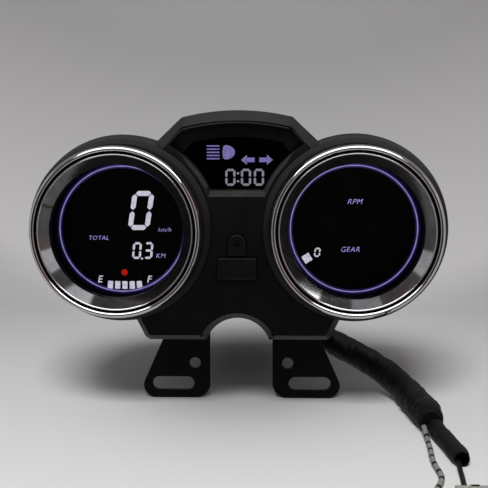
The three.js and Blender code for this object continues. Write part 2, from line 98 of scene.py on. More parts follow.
class Shader:
    """One material's node tree, with short calls for the nodes used here."""

    def __init__(self, name):
        self.material = bpy.data.materials.new(name)
        self.material.use_nodes = True
        self.tree = self.material.node_tree
        self.surface = self.tree.nodes["Principled BSDF"]
        self.output = self.tree.nodes["Material Output"]
        self.place = self.node("ShaderNodeTexCoord").outputs["Object"]

    def node(self, kind, **settings):
        made = self.tree.nodes.new(kind)
        for key, value in settings.items():
            setattr(made, key, value)
        return made

    def put(self, value, socket):
        if isinstance(value, bpy.types.NodeSocket):
            self.tree.links.new(value, socket)
        else:
            socket.default_value = value

    def math(self, operation, a, b=0.0):
        made = self.node("ShaderNodeMath", operation=operation)
        self.put(a, made.inputs[0])
        self.put(b, made.inputs[1])
        return made.outputs[0]

    def add(self, a, b):
        return self.math("ADD", a, b)

    def times(self, a, b):
        return self.math("MULTIPLY", a, b)

    def mix(self, factor, a, b):
        made = self.node("ShaderNodeMix", data_type="RGBA")
        for socket, value in (("Factor", factor), ("A", a), ("B", b)):
            self.put(value, made.inputs[socket])
        return made.outputs["Result"]

    def noise(self, size, detail=3, vector=None, roughness=0.5):
        """Noise whose features are size millimetres across."""
        made = self.node("ShaderNodeTexNoise")
        made.inputs["Scale"].default_value = 1 / (size * MM) if vector is None else 1 / size
        made.inputs["Detail"].default_value = detail
        made.inputs["Roughness"].default_value = roughness
        self.put(vector or self.place, made.inputs["Vector"])
        return made.outputs["Fac"]

    def cells(self, size):
        made = self.node("ShaderNodeTexVoronoi")
        made.inputs["Scale"].default_value = 1 / (size * MM)
        self.put(self.place, made.inputs["Vector"])
        return made.outputs["Distance"]

    def span(self, value, low, high, start=0.3, end=0.7):
        made = self.node("ShaderNodeMapRange")
        self.put(value, made.inputs["Value"])
        for socket, number in zip(("From Min", "From Max", "To Min", "To Max"), (start, end, low, high)):
            self.put(number, made.inputs[socket])
        return made.outputs["Result"]

    def ramp(self, value, *stops):
        made = self.node("ShaderNodeValToRGB")
        band = made.color_ramp
        while len(band.elements) < len(stops):
            band.elements.new(0.5)
        for element, (at, colour) in zip(band.elements, stops):
            element.position = at
            element.color = colour
        self.put(value, made.inputs["Fac"])
        return made.outputs["Color"]

    def bump(self, height, distance, strength=1.0, under=None):
        """Bump of that many millimetres."""
        made = self.node("ShaderNodeBump")
        made.inputs["Strength"].default_value = strength
        made.inputs["Distance"].default_value = distance * MM
        self.put(height, made.inputs["Height"])
        if under is not None:
            self.put(under, made.inputs["Normal"])
        return made.outputs["Normal"]

    def set(self, **values):
        for key, value in values.items():
            self.put(value, self.surface.inputs[key.replace("_", " ")])
        return self

    def axes(self):
        made = self.node("ShaderNodeSeparateXYZ")
        self.put(self.place, made.inputs[0])
        return made.outputs["X"], made.outputs["Y"], made.outputs["Z"]

    def dial_radius(self):
        """Distance from the nearer dial's axis in millimetres, and the angle round it."""
        x, _, z = self.axes()
        across = self.math("SUBTRACT", self.math("ABSOLUTE", x), DIAL_X * MM)
        up = self.math("SUBTRACT", z, DIAL_Z * MM)
        square = self.add(self.times(across, across), self.times(up, up))
        radius = self.math("DIVIDE", self.math("SQRT", square), MM)
        return radius, self.math("ARCTAN2", up, across)


def moulded(name, dark, light, rough, grain=0.45, height=0.012, mottle=14):
    """Moulded plastic or rubber: two tones, uneven gloss and a fine spark-eroded grain."""
    made = Shader(name)
    tone = made.ramp(made.noise(mottle, 5), (0.32, dark), (0.7, light))
    grained = made.add(made.noise(grain, 2), made.times(made.cells(grain * 1.6), 0.6))
    shine = made.add(made.span(made.noise(mottle * 0.6, 6), *rough),
                      made.span(made.noise(grain * 1.4, 1), -0.04, 0.04))
    return made.set(Base_Color=tone, Roughness=shine, Normal=made.bump(grained, height)).material


def metal(name, dark, light, rough, grain, height):
    made = Shader(name)
    tone = made.ramp(made.noise(9, 4), (0.3, dark), (0.7, light))
    shine = made.span(made.noise(5, 6), *rough)
    normal = made.bump(made.noise(grain, 3), height)
    return made.set(Base_Color=tone, Roughness=shine, Normal=normal, Metallic=1.0).material


def glass(name, tint, ior, clear):
    """A thin clear sheet: it lets what is behind it through and reflects at its surface."""
    made = Shader(name)
    see = made.node("ShaderNodeBsdfTransparent")
    see.inputs["Color"].default_value = tint
    shine = made.node("ShaderNodeBsdfGlossy")
    made.put(made.span(made.noise(18, 4), clear, clear * 2.5), shine.inputs["Roughness"])
    made.put(made.bump(made.noise(22, 2), 0.02), shine.inputs["Normal"])
    fresnel = made.node("ShaderNodeFresnel")
    fresnel.inputs["IOR"].default_value = ior
    mix = made.node("ShaderNodeMixShader")
    made.put(fresnel.outputs[0], mix.inputs[0])
    made.put(see.outputs[0], mix.inputs[1])
    made.put(shine.outputs[0], mix.inputs[2])
    made.put(mix.outputs[0], made.output.inputs["Surface"])
    made.tree.nodes.remove(made.surface)
    return made.material


def lit(name, core, edge, strength):
    """Display ink lit from behind, a little uneven."""
    made = Shader(name)
    tone = made.ramp(made.noise(2.2, 2), (0.25, edge), (0.6, core))
    power = made.span(made.noise(3, 3), strength * 0.9, strength * 1.08)
    return made.set(Base_Color=(0.01, 0.01, 0.012, 1), Emission_Color=tone, Emission_Strength=power,
                    Roughness=0.4).material


RING_R = 38.0
CONE_START, CONE_END = (44.4, 0.95), (39.3, 6.5)
# Colour of the painted glow that stands in for the light rings' light on the display glass and mask beside
# them.
PAINTED_GLOW_COLOUR = srgb(92, 70, 235)


def painted_ring_glow(made, reach, strength):
    """Painted light: violet emission on what lies beside the light ring, fading with distance from it,
    standing in for the glow the ring throws there.
    """
    radius, _ = made.dial_radius()
    away = made.math("ABSOLUTE", made.math("SUBTRACT", radius, RING_R))
    painted_glow = made.math("POWER", NATURAL, made.math("DIVIDE", away, -reach))
    made.set(Emission_Color=PAINTED_GLOW_COLOUR, Emission_Strength=made.times(painted_glow, strength))


def light_ring_material():
    made = Shader("light_guide_lit")
    radius, angle = made.dial_radius()
    away = made.math("ABSOLUTE", made.math("SUBTRACT", radius, RING_R))
    tone = made.ramp(made.math("DIVIDE", away, 0.9), (0.04, srgb(200, 192, 240)), (0.3, srgb(136, 124, 212)),
                     (0.5, srgb(50, 36, 132)), (0.75, srgb(18, 10, 62)))
    lamps = made.times(made.math("COSINE", made.times(angle, 24)), 0.05)
    power = made.add(made.span(made.noise(6, 2), 0.5, 0.62), lamps)
    return made.set(Base_Color=srgb(210, 205, 235), Roughness=0.35, Emission_Color=tone,
                    Emission_Strength=power).material


def display_surface(name, mottle, dark, light, gloss, rough, grain, height, painted_glow=None):
    """Dark display glass or its frame, with the light ring's glow painted on as emission where one is beside
    it.
    """
    made = Shader(name)
    tone = made.ramp(made.noise(mottle, 3), (0.35, dark), (0.7, light))
    made.set(Base_Color=tone, Roughness=made.span(made.noise(gloss, 4), *rough),
             Normal=made.bump(made.noise(*grain), height))
    if painted_glow:
        painted_ring_glow(made, *painted_glow)
    return made.material


def trim_material():
    """Plated trim with fine rings of tool marks; its lip by the lens and its flange are painted black."""
    made = Shader("satin_chrome_turned")
    radius, angle = made.dial_radius()
    place = made.node("ShaderNodeCombineXYZ")
    made.put(made.times(radius, 9), place.inputs[0])
    made.put(made.times(angle, 5), place.inputs[1])
    lines = made.noise(1, 3, place.outputs[0])
    _, y, _ = made.axes()
    depth = made.math("SUBTRACT", made.math("DIVIDE", y, MM), FACE_Y)
    flange = made.times(made.math("GREATER_THAN", radius, 45.0), made.math("GREATER_THAN", depth, 2.2))
    paint = made.math("MAXIMUM", made.math("GREATER_THAN", depth, CONE_END[1] + 0.1), flange)
    plated = made.ramp(made.noise(7, 4), (0.3, srgb(128, 128, 131)), (0.7, srgb(156, 156, 159)))
    tone = made.mix(paint, plated, (0.004, 0.004, 0.005, 1))
    shine = made.add(made.span(lines, 0.07, 0.13), made.times(paint, 0.4))
    bare = made.times(made.math("SUBTRACT", 1, paint), 0.85)
    return made.set(Base_Color=tone, Metallic=bare, Roughness=shine, Normal=made.bump(lines, 0.0015)).material


def board_material():
    made = Shader("circuit_board_green")
    tracks = made.node("ShaderNodeTexBrick")
    tracks.inputs["Scale"].default_value = 260
    tracks.inputs["Mortar Size"].default_value = 0.03
    tracks.inputs["Color1"].default_value = srgb(16, 70, 40)
    tracks.inputs["Color2"].default_value = srgb(20, 84, 46)
    tracks.inputs["Mortar"].default_value = srgb(46, 120, 66)
    upright = made.node("ShaderNodeMapping")
    upright.inputs["Rotation"].default_value = (math.radians(90), 0, 0)
    made.put(made.place, upright.inputs["Vector"])
    made.put(upright.outputs[0], tracks.inputs["Vector"])
    return made.set(Base_Color=tracks.outputs["Color"], Roughness=made.span(made.noise(4, 3), 0.3, 0.45),
                    Normal=made.bump(tracks.outputs["Fac"], 0.02)).material


def sleeve_material():
    """Soft vinyl sleeving: near black with a green cast, unevenly dull."""
    made = Shader("black_sleeve_vinyl")
    tone = made.ramp(made.noise(11, 5), (0.3, srgb(9, 11, 11)), (0.72, srgb(19, 22, 21)))
    creases = made.noise(3.2, 6, roughness=0.62)
    fine = made.bump(made.noise(0.5, 2), 0.02)
    return made.set(Base_Color=tone, Roughness=made.span(made.noise(4, 5), 0.46, 0.68),
                    Specular_IOR_Level=0.35, Normal=made.bump(creases, 0.35, 0.8, fine)).material


def grey_lead_material():
    """Off-white insulation with black coding marks along it."""
    made = Shader("grey_lead_marked")
    _, y, _ = made.axes()
    along = made.add(y, made.times(made.noise(9, 2), 0.004))
    step = made.math("FRACT", made.math("DIVIDE", along, 0.0105))
    marks = made.math("GREATER_THAN", step, 0.74)
    tone = made.ramp(marks, (0.0, srgb(186, 186, 180)), (1.0, srgb(16, 17, 17)))
    return made.set(Base_Color=tone, Roughness=made.span(made.noise(3, 3), 0.42, 0.6),
                    Normal=made.bump(made.noise(0.7, 2), 0.02)).material


PLASTIC = moulded("housing_plastic_charcoal", srgb(26, 28, 29), srgb(33, 35, 36), (0.42, 0.56))
KEY_PLASTIC = moulded("key_plastic_black", srgb(40, 40, 41), srgb(48, 48, 50), (0.34, 0.44), 0.35, 0.008)
DARK_PLASTIC = moulded("inner_plastic_black", srgb(15, 15, 16), srgb(23, 23, 25), (0.4, 0.55), 0.4, 0.006)
RUBBER = moulded("rubber_black", srgb(20, 20, 20), srgb(30, 30, 30), (0.7, 0.86), 0.6, 0.03, 8)
STEEL = moulded("black_steel_powder", srgb(7, 7, 8), srgb(12, 12, 13), (0.48, 0.6), 0.7, 0.02, 10)
NYLON = moulded("nylon_natural", srgb(196, 192, 178), srgb(222, 219, 207), (0.34, 0.48), 0.5, 0.006, 12)
DIFFUSER = moulded("diffuser_white", srgb(205, 205, 212), srgb(226, 226, 232), (0.5, 0.65), 0.5, 0.004, 12)
LEAD = moulded("lead_black", srgb(14, 14, 15), srgb(24, 24, 25), (0.38, 0.52), 0.6, 0.01, 5)
CHROME = metal("chrome_plated", srgb(226, 228, 232), srgb(242, 243, 246), (0.025, 0.07), 1.6, 0.0012)
ZINC = metal("zinc_plated", srgb(150, 151, 150), srgb(186, 186, 180), (0.24, 0.42), 0.5, 0.006)
BRASS = metal("terminal_tinned", srgb(176, 160, 120), srgb(206, 192, 150), (0.25, 0.4), 0.4, 0.004)
LENS = glass("clear_lens_glass", (0.97, 0.98, 0.985, 1), 1.2, 0.012)
SMOKED = glass("smoked_window_glass", (0.62, 0.62, 0.64, 1), 1.25, 0.02)
TRIM = trim_material()
# The display glass and the mask end with the reach and strength of their painted ring glow.
DISPLAY = display_surface("display_glass_dark", 16, srgb(37, 37, 40), srgb(40, 40, 43), 12, (0.2, 0.3),
                          (0.5, 1), 0.0008, (0.4, 0.2))
MASK = display_surface("display_mask_black", 8, srgb(14, 14, 16), srgb(17, 17, 19), 6, (0.34, 0.38), (0.4, 2),
                       0.003, (0.5, 0.25))
DISPLAY_PLAIN = display_surface("clock_display_dark", 12, srgb(9, 9, 13), srgb(16, 16, 21), 9, (0.16, 0.24),
                                (0.5, 1), 0.0008)
GLOW_RING = light_ring_material()
BOARD = board_material()
SLEEVE = sleeve_material()
GREY_LEAD = grey_lead_material()
WHITE_INK = lit("display_white", srgb(250, 248, 255), srgb(214, 208, 255), 0.66)
VIOLET_INK = lit("display_violet", srgb(196, 184, 255), srgb(150, 134, 246), 0.95)
RED_INK = lit("display_red", srgb(214, 34, 26), srgb(150, 14, 12), 0.8)
FINISH_OF_SLOT = {
    "housing_plastic": PLASTIC, "chrome": CHROME, "satin_chrome": TRIM, "clear_lens": LENS,
    "smoked_window": SMOKED, "black_plastic": DARK_PLASTIC, "display_glass": DISPLAY,
    "light_guide": GLOW_RING, "diffuser": DIFFUSER, "circuit_board": BOARD, "rubber": RUBBER,
    "black_steel": STEEL, "zinc": ZINC, "black_sleeve": SLEEVE, "grey_lead": GREY_LEAD, "nylon": NYLON,
}

# ---------- outline helpers: lists of (x, z), anticlockwise ----------


def arc(centre, radius, start, end, steps):
    turns = [math.radians(start + (end - start) * i / steps) for i in range(steps + 1)]
    return [(centre[0] + radius * math.cos(a), centre[1] + radius * math.sin(a)) for a in turns]


def circle(centre, radius, sides=64):
    return arc(centre, radius, 0, 360 * (1 - 1 / sides), sides - 1)


def mirrored(outline):
    return [(-x, z) for x, z in reversed(outline)]


def rectangle(x0, x1, z0, z1):
    return [(x0, z0), (x1, z0), (x1, z1), (x0, z1)]


def top_arc(shoulder, apex, steps):
    """A shallow arc over the top, from the right shoulder to the left one."""
    x, z = shoulder
    radius = (x * x + (apex - z) ** 2) / (2 * (apex - z))
    half = math.degrees(math.asin(x / radius))
    return arc((0, apex - radius), radius, 90 - half, 90 + half, steps)


def offset(outline, amounts):
    """Moves each edge of an anticlockwise outline inwards; amounts is one distance, or one for each edge."""
    count = len(outline)
    if not hasattr(amounts, "__len__"):
        amounts = [amounts] * count
    points = [Vector(p) for p in outline]

    def inward(a, b):
        along = (b - a).normalized()
        return Vector((-along.y, along.x))

    moved = []
    for i, here in enumerate(points):
        before, after = inward(points[i - 1], here), inward(here, points[(i + 1) % count])
        near, far = amounts[i - 1], amounts[i]
        cross = before.x * after.y - before.y * after.x
        if near == far or abs(cross) < 0.08:
            shift = (before + after) * ((near + far) / 2) / (1 + before.dot(after))
        else:
            shift = Vector((near * after.y - far * before.y, far * before.x - near * after.x)) / cross
        moved.append(tuple(here + shift))
    return moved


def rounded(points, radius, steps=3, closed=True):
    """The same line with its corners rounded; a third number on a point is its own radius."""
    count = len(points)
    out = []
    for i, point in enumerate(points):
        here = Vector(point[:2])
        own = point[2] if len(point) > 2 else radius
        if own <= 0 or (not closed and i in (0, count - 1)):
            out.append(tuple(here))
            continue
        back, on = Vector(points[i - 1][:2]) - here, Vector(points[(i + 1) % count][:2]) - here
        reach = min(own / math.tan(back.angle(on) / 2), 0.46 * back.length, 0.46 * on.length)
        start, end = here + back.normalized() * reach, here + on.normalized() * reach
        for k in range(steps + 1):
            t = k / steps
            out.append(tuple(start * (1 - t) ** 2 + here * 2 * t * (1 - t) + end * t * t))
    return out


# ---------- mesh helpers: a form is (vertices, faces) ----------


def joined(*forms):
    vertices, faces = [], []
    for points, sides in forms:
        start = len(vertices)
        vertices += points
        faces += [tuple(i + start for i in face) for face in sides]
    return vertices, faces


def moved(form, move):
    return [move(*point) for point in form[0]], form[1]


def strip(first, second, count):
    """Faces between two rings of vertices that start at those indices."""
    pairs = [(i, (i + 1) % count) for i in range(count)]
    return [(first + i, first + after, second + after, second + i) for i, after in pairs]


def lathe(profile, centre, sides):
    """A profile of (radius, depth) turned about the depth axis; one that starts on the axis isn't closed."""
    vertices, rings = [], []
    for radius, depth in profile:
        if radius < 1e-6:
            rings.append((len(vertices), 1))
            vertices.append((centre[0], depth, centre[1]))
        else:
            rings.append((len(vertices), sides))
            vertices += [(x, depth, z) for x, z in circle(centre, radius, sides)]
    faces = []
    after = rings[1:] + (rings[:1] if profile[0][0] > 0 else [])
    for (a, size_a), (b, size_b) in zip(rings, after):
        if size_a == size_b == sides:
            faces += strip(a, b, sides)
        elif size_a != size_b:
            tip, rim = (a, b) if size_a == 1 else (b, a)
            faces += [(tip, rim + i, rim + (i + 1) % sides) for i in range(sides)]
    return vertices, faces


def turned(profile, centre, sides, corner, steps=3):
    """A lathe form with the corners of its profile rounded."""
    return lathe(rounded(profile, corner, steps, closed=profile[0][0] > 0), centre, sides)


def ring_profile(inner, outer, front, back):
    """The profile of a plain ring, or of a disc when inner is 0."""
    return [(inner, front), (outer, front), (outer, back), (inner, back)]


def loops(rings):
    """Rings of points with equal counts, joined in turn."""
    count = len(rings[0])
    vertices = [p for r in rings for p in r]
    faces = [f for k in range(len(rings) - 1) for f in strip(k * count, (k + 1) * count, count)]
    return vertices, faces


def filled(outlines, depth):
    """A flat face at that depth, inside the first outline and outside the others."""
    flat = [[Vector((x, z, 0)) for x, z in outline] for outline in outlines]
    faces = geometry.tessellate_polygon(flat)
    return [(p.x, depth, p.y) for outline in flat for p in outline], [tuple(f) for f in faces]


def plate(outlines, front, back, edge=0.3, steps=3):
    """A slab between two depths, with holes, and a rounded edge wherever a face meets a side."""
    forms = []
    faces = [[], []]
    for number, outline in enumerate(outlines):
        sign = 1 if number == 0 else -1
        rings = []
        for depth, turn in ((front, 1), (back, -1)):
            bow = []
            for k in range(steps + 1):
                angle = math.radians(90 * k / steps)
                shape = offset(outline, sign * edge * (1 - math.sin(angle)))
                bow.append([(x, depth + turn * edge * (1 - math.cos(angle)), z) for x, z in shape])
            rings += bow if turn == 1 else bow[::-1]
        for side, ring in zip(faces, (rings[0], rings[-1])):
            side.append([(x, z) for x, _, z in ring])
        forms.append(loops(rings))
    return joined(*forms, filled(faces[0], front), filled(faces[1], back))


def block(x, y, z, edge=0.4):
    """A box with rounded edges, given by its three spans."""
    return plate([rounded(rectangle(*x, *z), edge * 1.5)], *y, edge)


@contextmanager
def edited(data):
    """A mesh's faces, open for editing and written back at the end."""
    work = bmesh.new()
    work.from_mesh(data)
    yield work
    work.to_mesh(data)
    work.free()


def build(name, form, scale=MM, weld=0.002):
    """A linked object with that form, its faces turned out."""
    data = bpy.data.meshes.new(name)
    data.from_pydata([Vector(p) * scale for p in form[0]], [], form[1])
    with edited(data) as work:
        bmesh.ops.remove_doubles(work, verts=work.verts, dist=weld * scale)
        bmesh.ops.dissolve_degenerate(work, edges=work.edges, dist=0.0005 * scale)
        bmesh.ops.recalc_face_normals(work, faces=work.faces)
    return linked(name, data)


def linked(name, data):
    obj = bpy.data.objects.new(name, data)
    bpy.context.scene.collection.objects.link(obj)
    return obj


def merged(name, *meshes):
    """One mesh with every mesh's faces."""
    work = bmesh.new()
    for mesh in meshes:
        work.from_mesh(mesh)
    data = bpy.data.meshes.new(name)
    work.to_mesh(data)
    work.free()
    return data


def absorb(obj, *others):
    """Adds the other objects' faces to the first object's mesh, and removes those objects."""
    obj.data = merged(obj.name, obj.data, *[other.data for other in others])
    for other in others:
        bpy.data.objects.remove(other)


def into_place(obj):
    """Moves a mesh drawn in the dial frame to its place in the row frame."""
    obj.data.transform(Matrix.Translation((0, FACE_Y * MM, DIAL_Z * MM)))


def settle(obj):
    """Applies the object's modifiers."""
    shapes = bpy.context.evaluated_depsgraph_get()
    bpy.context.view_layer.update()
    data = bpy.data.meshes.new_from_object(obj.evaluated_get(shapes))
    obj.modifiers.clear()
    obj.data = data
    return obj


def boolean(obj, operation, *tools):
    for tool in tools:
        change = obj.modifiers.new("boolean", "BOOLEAN")
        change.operation = operation
        change.solver = "MANIFOLD"
        change.object = tool
        settle(obj)
        bpy.data.objects.remove(tool)
    return obj


def carve(obj, *forms):
    return boolean(obj, "DIFFERENCE", *[build("tool", form) for form in forms])


def dress(obj, material, replaces=(), body="cluster", sharp=35, weighted=True):
    """Smooths, paints and places a finished piece."""
    with edited(obj.data) as work:
        for face in work.faces:
            face.smooth = True
        for edge in work.edges:
            edge.smooth = len(edge.link_faces) == 2 and edge.calc_face_angle(0) < math.radians(sharp)
    if weighted:
        even = obj.modifiers.new("even_normals", "WEIGHTED_NORMAL")
        even.keep_sharp = True
        even.weight = 60
    obj.data.materials.clear()
    obj.data.materials.append(material)
    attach(obj, body)
    if replaces:
        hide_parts(*([replaces] if isinstance(replaces, str) else replaces))
    return obj


def make(name, form, material, replaces=(), body="cluster", dials=True, sharp=35):
    """A piece straight from its form, in the dial frame or the row frame."""
    if dials:
        form = moved(form, in_dials)
    return dress(build(name, form), material, replaces, body, sharp)


# ---------- harness ----------
TRUNK = [
    (2, -19, 66.5), (2, -15, 66.5), (3.4, -7, 65.8), (7.6, 1.8, 63), (13.6, 8.8, 58.7), (21.2, 13.2, 53.2),
    (31, 15.6, 46), (42, 16.5, 38.2), (54, 16.5, 30), (65, 16, 23), (76, 14.8, 17.2), (86.5, 12.3, 11.8),
    (95.5, 7, 6.8), (102.5, -1, 2.3), (107.3, -11.5, -1), (110, -24, -2.4), (111.4, -36, -2.4),
    (112.6, -47.5, -2.4), (113.6, -58, -2.4), (114, -67, -2.4), (114, -72, -2.4),
]
BRANCH = [
    (115.3, -76.9, -4.2), (115.3, -79.5, -4.3), (115.7, -83.5, -4.9), (116.3, -87.5, -5.4),
    (116.8, -91, -5.65), (117.3, -95, -5.7), (117.8, -99, -5.7), (118.2, -103, -5.7), (118.6, -107, -5.7),
    (119, -111, -5.7), (119.4, -114.5, -5.7), (119.7, -118, -5.7), (120, -121.5, -5.7),
    (120.1, -125, -5.7), (120.1, -128.3, -5.7),
]
SENSOR_LEAD = [
    (109, -76.9, -4.6), (109, -79.5, -5), (109, -83, -6.2), (109, -87, -7.5), (108.8, -92, -8.3),
    (108.4, -98, -8.4), (107.9, -104.5, -8.4), (107.2, -111, -8.4), (106.5, -118, -8.4), (106, -125, -8.4),
    (106, -132, -8.4), (106.3, -139, -8.4), (106.2, -146, -8.4), (104.6, -153, -8.4), (102, -160, -8.4),
    (99.4, -166.5, -7.8), (98.1, -172, -6.7), (98, -176.5, -6.2),
]
MAIN_LEAD = [
    (118, -128.7, -7), (118, -131, -7.3), (117.8, -134, -8), (117.4, -137.5, -8.5), (117, -141.5, -8.6),
    (116.6, -145.5, -8.6), (116.1, -149.5, -8.6), (115.6, -153.5, -8.6), (115.1, -157.5, -8.6),
    (114.7, -161.5, -8.4), (114.4, -165.5, -7.6), (114.2, -169.5, -6.4), (114.1, -173, -5.4),
    (114.1, -176.5, -5),
]


def smooth_route(route, per_step):
    """Points along a Catmull-Rom curve through the route."""
    points = [Vector(p) for p in route]
    points = [points[0] * 2 - points[1], *points, points[-1] * 2 - points[-2]]
    out = []
    for i in range(1, len(points) - 2):
        a, b, c, d = points[i - 1:i + 3]
        for k in range(per_step):
            t = k / per_step
            out.append(0.5 * ((2 * b) + (c - a) * t + (2 * a - 5 * b + 4 * c - d) * t * t
                              + (3 * b - a - 3 * c + d) * t * t * t))
    return out + [points[-2]]


def tube(line, radius_at, sides, end_lip=0.0):
    """A tube round a line of points; radius_at(share, turn, place) is its radius there.

    With end_lip its far end is cut square and hollow, that wall thick.
    """
    last = len(line) - 1
    tangents = [(line[min(i + 1, last)] - line[max(i - 1, 0)]).normalized() for i in range(last + 1)]
    across = tangents[0].orthogonal().normalized()
    rings = []
    for i, (point, along) in enumerate(zip(line, tangents)):
        across = (across - along * across.dot(along)).normalized()
        other = along.cross(across)
        ring = []
        for k in range(sides):
            turn = 2 * math.pi * k / sides
            radius = radius_at(i / last, turn, point)
            ring.append(point + (across * math.cos(turn) + other * math.sin(turn)) * radius)
        rings.append(ring)
    if end_lip:
        centre, back = line[-1], tangents[-1]
        rim = [centre + (p - centre) * 0.97 + back * 0.12 for p in rings[-1]]
        inner = [centre + (p - centre) * (1 - end_lip) for p in rim]
        deep = [p - back * 5 for p in inner]
        rings += [rim, inner, deep]
    vertices, faces = loops([[tuple(p) for p in ring] for ring in rings])
    for ring, end in ((0, line[0]), (len(rings) - 1, sum(rings[-1], Vector()) / sides)):
        vertices.append(tuple(end))
        faces += [(len(vertices) - 1, ring * sides + k, ring * sides + (k + 1) % sides) for k in range(sides)]
    return vertices, faces


def wrinkled(size, wobble, crease, fuller, fuller_from=0.0):
    """The radius of a soft sleeve, in millimetres.

    It wobbles and creases by those amounts, and it is fuller by that much past a share of its length.
    """
    flat = 0.06

    def radius_at(share, turn, place):
        swell = noise.noise(place * 0.045) * wobble
        around = Vector((math.cos(turn), math.sin(turn), 0)) * 1.1
        lumps = noise.noise(Vector((place.x * 0.11, place.y * 0.11, place.z * 0.11)) + around) * wobble * 0.9
        folds = noise.ridged_multi_fractal(place * 0.16 + around * 0.55, 0.9, 2.2, 4, 1.0, 2.0)
        oval = math.cos(2 * (turn + 3 * noise.noise(place * 0.02)))
        ease = min(1, share * 12, (1 - share) * 14)
        belly = fuller * max(0, min(1, (share - fuller_from) * 12, (1 - share) * 10))
        return size * (1 + flat * oval * ease) + belly + (swell + lumps + crease * (folds - 1.1)) * ease

    return radius_at


def on_floor(form):
    """Nothing sinks into the floor: what would lies flat on it, a hair above."""
    return moved(form, lambda x, y, z: (x, y, max(z, FLOOR + 0.12)))


def metres(point):
    return tuple(v * MM for v in point)


def cord_piece(name, route, radius_at, sides, material, per_step, end_lip=0.0):
    line = smooth_route(route, per_step)
    form = on_floor(tube(line, radius_at, sides, end_lip))
    piece = make(name, form, material, name, dials=False, sharp=70)
    length = sum((b - a).length for a, b in zip(line, line[1:])) * MM
    return piece, [metres(p) for p in line], length


def round_lead(radius):
    return lambda share, turn, place: radius * (1 + 0.03 * noise.noise(place * 0.3))


def branch_boot():
    """A moulded boot round the end of the trunk, with shallow grip rings."""
    x, y, z = TRUNK[-1]
    profile = [(0, y - 0.3), (7.2, y - 0.3)]
    for k in range(4):
        start, crest, groove = y - 0.5 - k, 7.15 - 0.22 * k, 6.85 - 0.22 * k
        profile += [(crest, start), (crest, start - 0.5), (groove, start - 0.62), (groove, start - 0.9)]
    profile += [(6.1, BRANCH[0][1] + 0.3), (0, BRANCH[0][1] + 0.3)]
    return on_floor(turned(profile, (x - 0.6, z), 72, 0.12, 2))


def cavity(x0, x1, y0, y1, z0, z1):
    return [(x, y, z) for x in (x0, x1) for y in (y0, y1) for z in (z0, z1)], [
        (0, 1, 3, 2), (4, 6, 7, 5), (0, 4, 5, 1), (2, 3, 7, 6), (0, 2, 6, 4), (1, 5, 7, 3)]


def connector(name, tip, size, ways, rows):
    """A moulded plug: keyed body, collar, latch arm and a grid of terminal cavities at its mating end."""
    x, y, _ = tip
    width, length, height = size
    half, low = width / 2, FLOOR
    top, mating = low + height, y - length

    def across(share):
        return x - width * share, x + width * share

    body = [(-half, low), (half, low), (half, low + height * 0.72), (half - 0.8, low + height * 0.78),
            (half - 0.8, top), (0.8 - half, top), (0.8 - half, low + height * 0.78),
            (-half, low + height * 0.72)]
    shell = build(name, plate([rounded([(x + a, b) for a, b in body], 0.5)], mating, y - 4, 0.35))
    pitch, rise = width * 0.86 / ways, height * 0.78 / rows
    holes = []
    for i in range(ways):
        for j in range(rows):
            cx = x + (i - (ways - 1) / 2) * pitch
            cz = low + height * 0.46 + (j - (rows - 1) / 2) * rise
            holes.append(cavity(cx - pitch * 0.36, cx + pitch * 0.36, mating - 1, mating + 6,
                                cz - rise * 0.33, cz + rise * 0.33))
    carve(shell, joined(*holes))
    collar = block(across(0.38), (y - 5, y - 0.3), (low + height * 0.14, low + height * 0.86), 0.4)
    latch_back, edge = y - length * 0.75, x - 0.999 * half
    arm = block(across(0.12), (latch_back, y - 6.2), (top + 0.35, top + 1.1), 0.25)
    root = block(across(0.12), (y - 8.5, y - 5.4), (top - 0.4, top + 1.1), 0.25)
    hook = block(across(0.14), (latch_back, latch_back + 2.2), (top - 0.1, top + 1.45), 0.25)
    middle = FLOOR + height / 2
    rib = block((edge - 0.35, edge), (mating + 3, y - 8), (middle - 1.6, middle + 0.2), 0.12)
    absorb(shell, build(name + "_detail", joined(collar, arm, root, hook, rib)))
    dress(shell, NYLON, name)
    pins = [block((h[0][0][0] + pitch * 0.2, h[0][4][0] - pitch * 0.2), (mating + 1.4, mating + 5.9),
                  (h[0][0][2] + rise * 0.2, h[0][1][2] - rise * 0.2), 0.12) for h in holes]
    make(name + "_terminals", joined(*pins), BRASS, dials=False)
    return shell


def add_harness():
    boot = make("branch_boot_moulded", branch_boot(), RUBBER, "branch_boot", dials=False)
    trunk, trunk_line, trunk_length = cord_piece(
        "harness_sleeve", TRUNK, wrinkled(7.25, 0.75, 0.4, 1.6, 0.38), 56, SLEEVE, 22)
    branch, branch_line, branch_length = cord_piece(
        "branch_sleeve", BRANCH, wrinkled(4.1, 0.3, 0.2, 0.6), 48, SLEEVE, 14, 0.16)
    sensor, sensor_line, sensor_length = cord_piece(
        "sensor_lead", SENSOR_LEAD, round_lead(1.5), 20, GREY_LEAD, 8)
    main, main_line, main_length = cord_piece(
        "main_lead", MAIN_LEAD, round_lead(1.3), 20, LEAD, 8)
    plug = connector("main_connector", MAIN_LEAD[-1], (19, 27, 11), 4, 2)
    small_plug = connector("sensor_connector", SENSOR_LEAD[-1], (9, 21, 8), 2, 1)


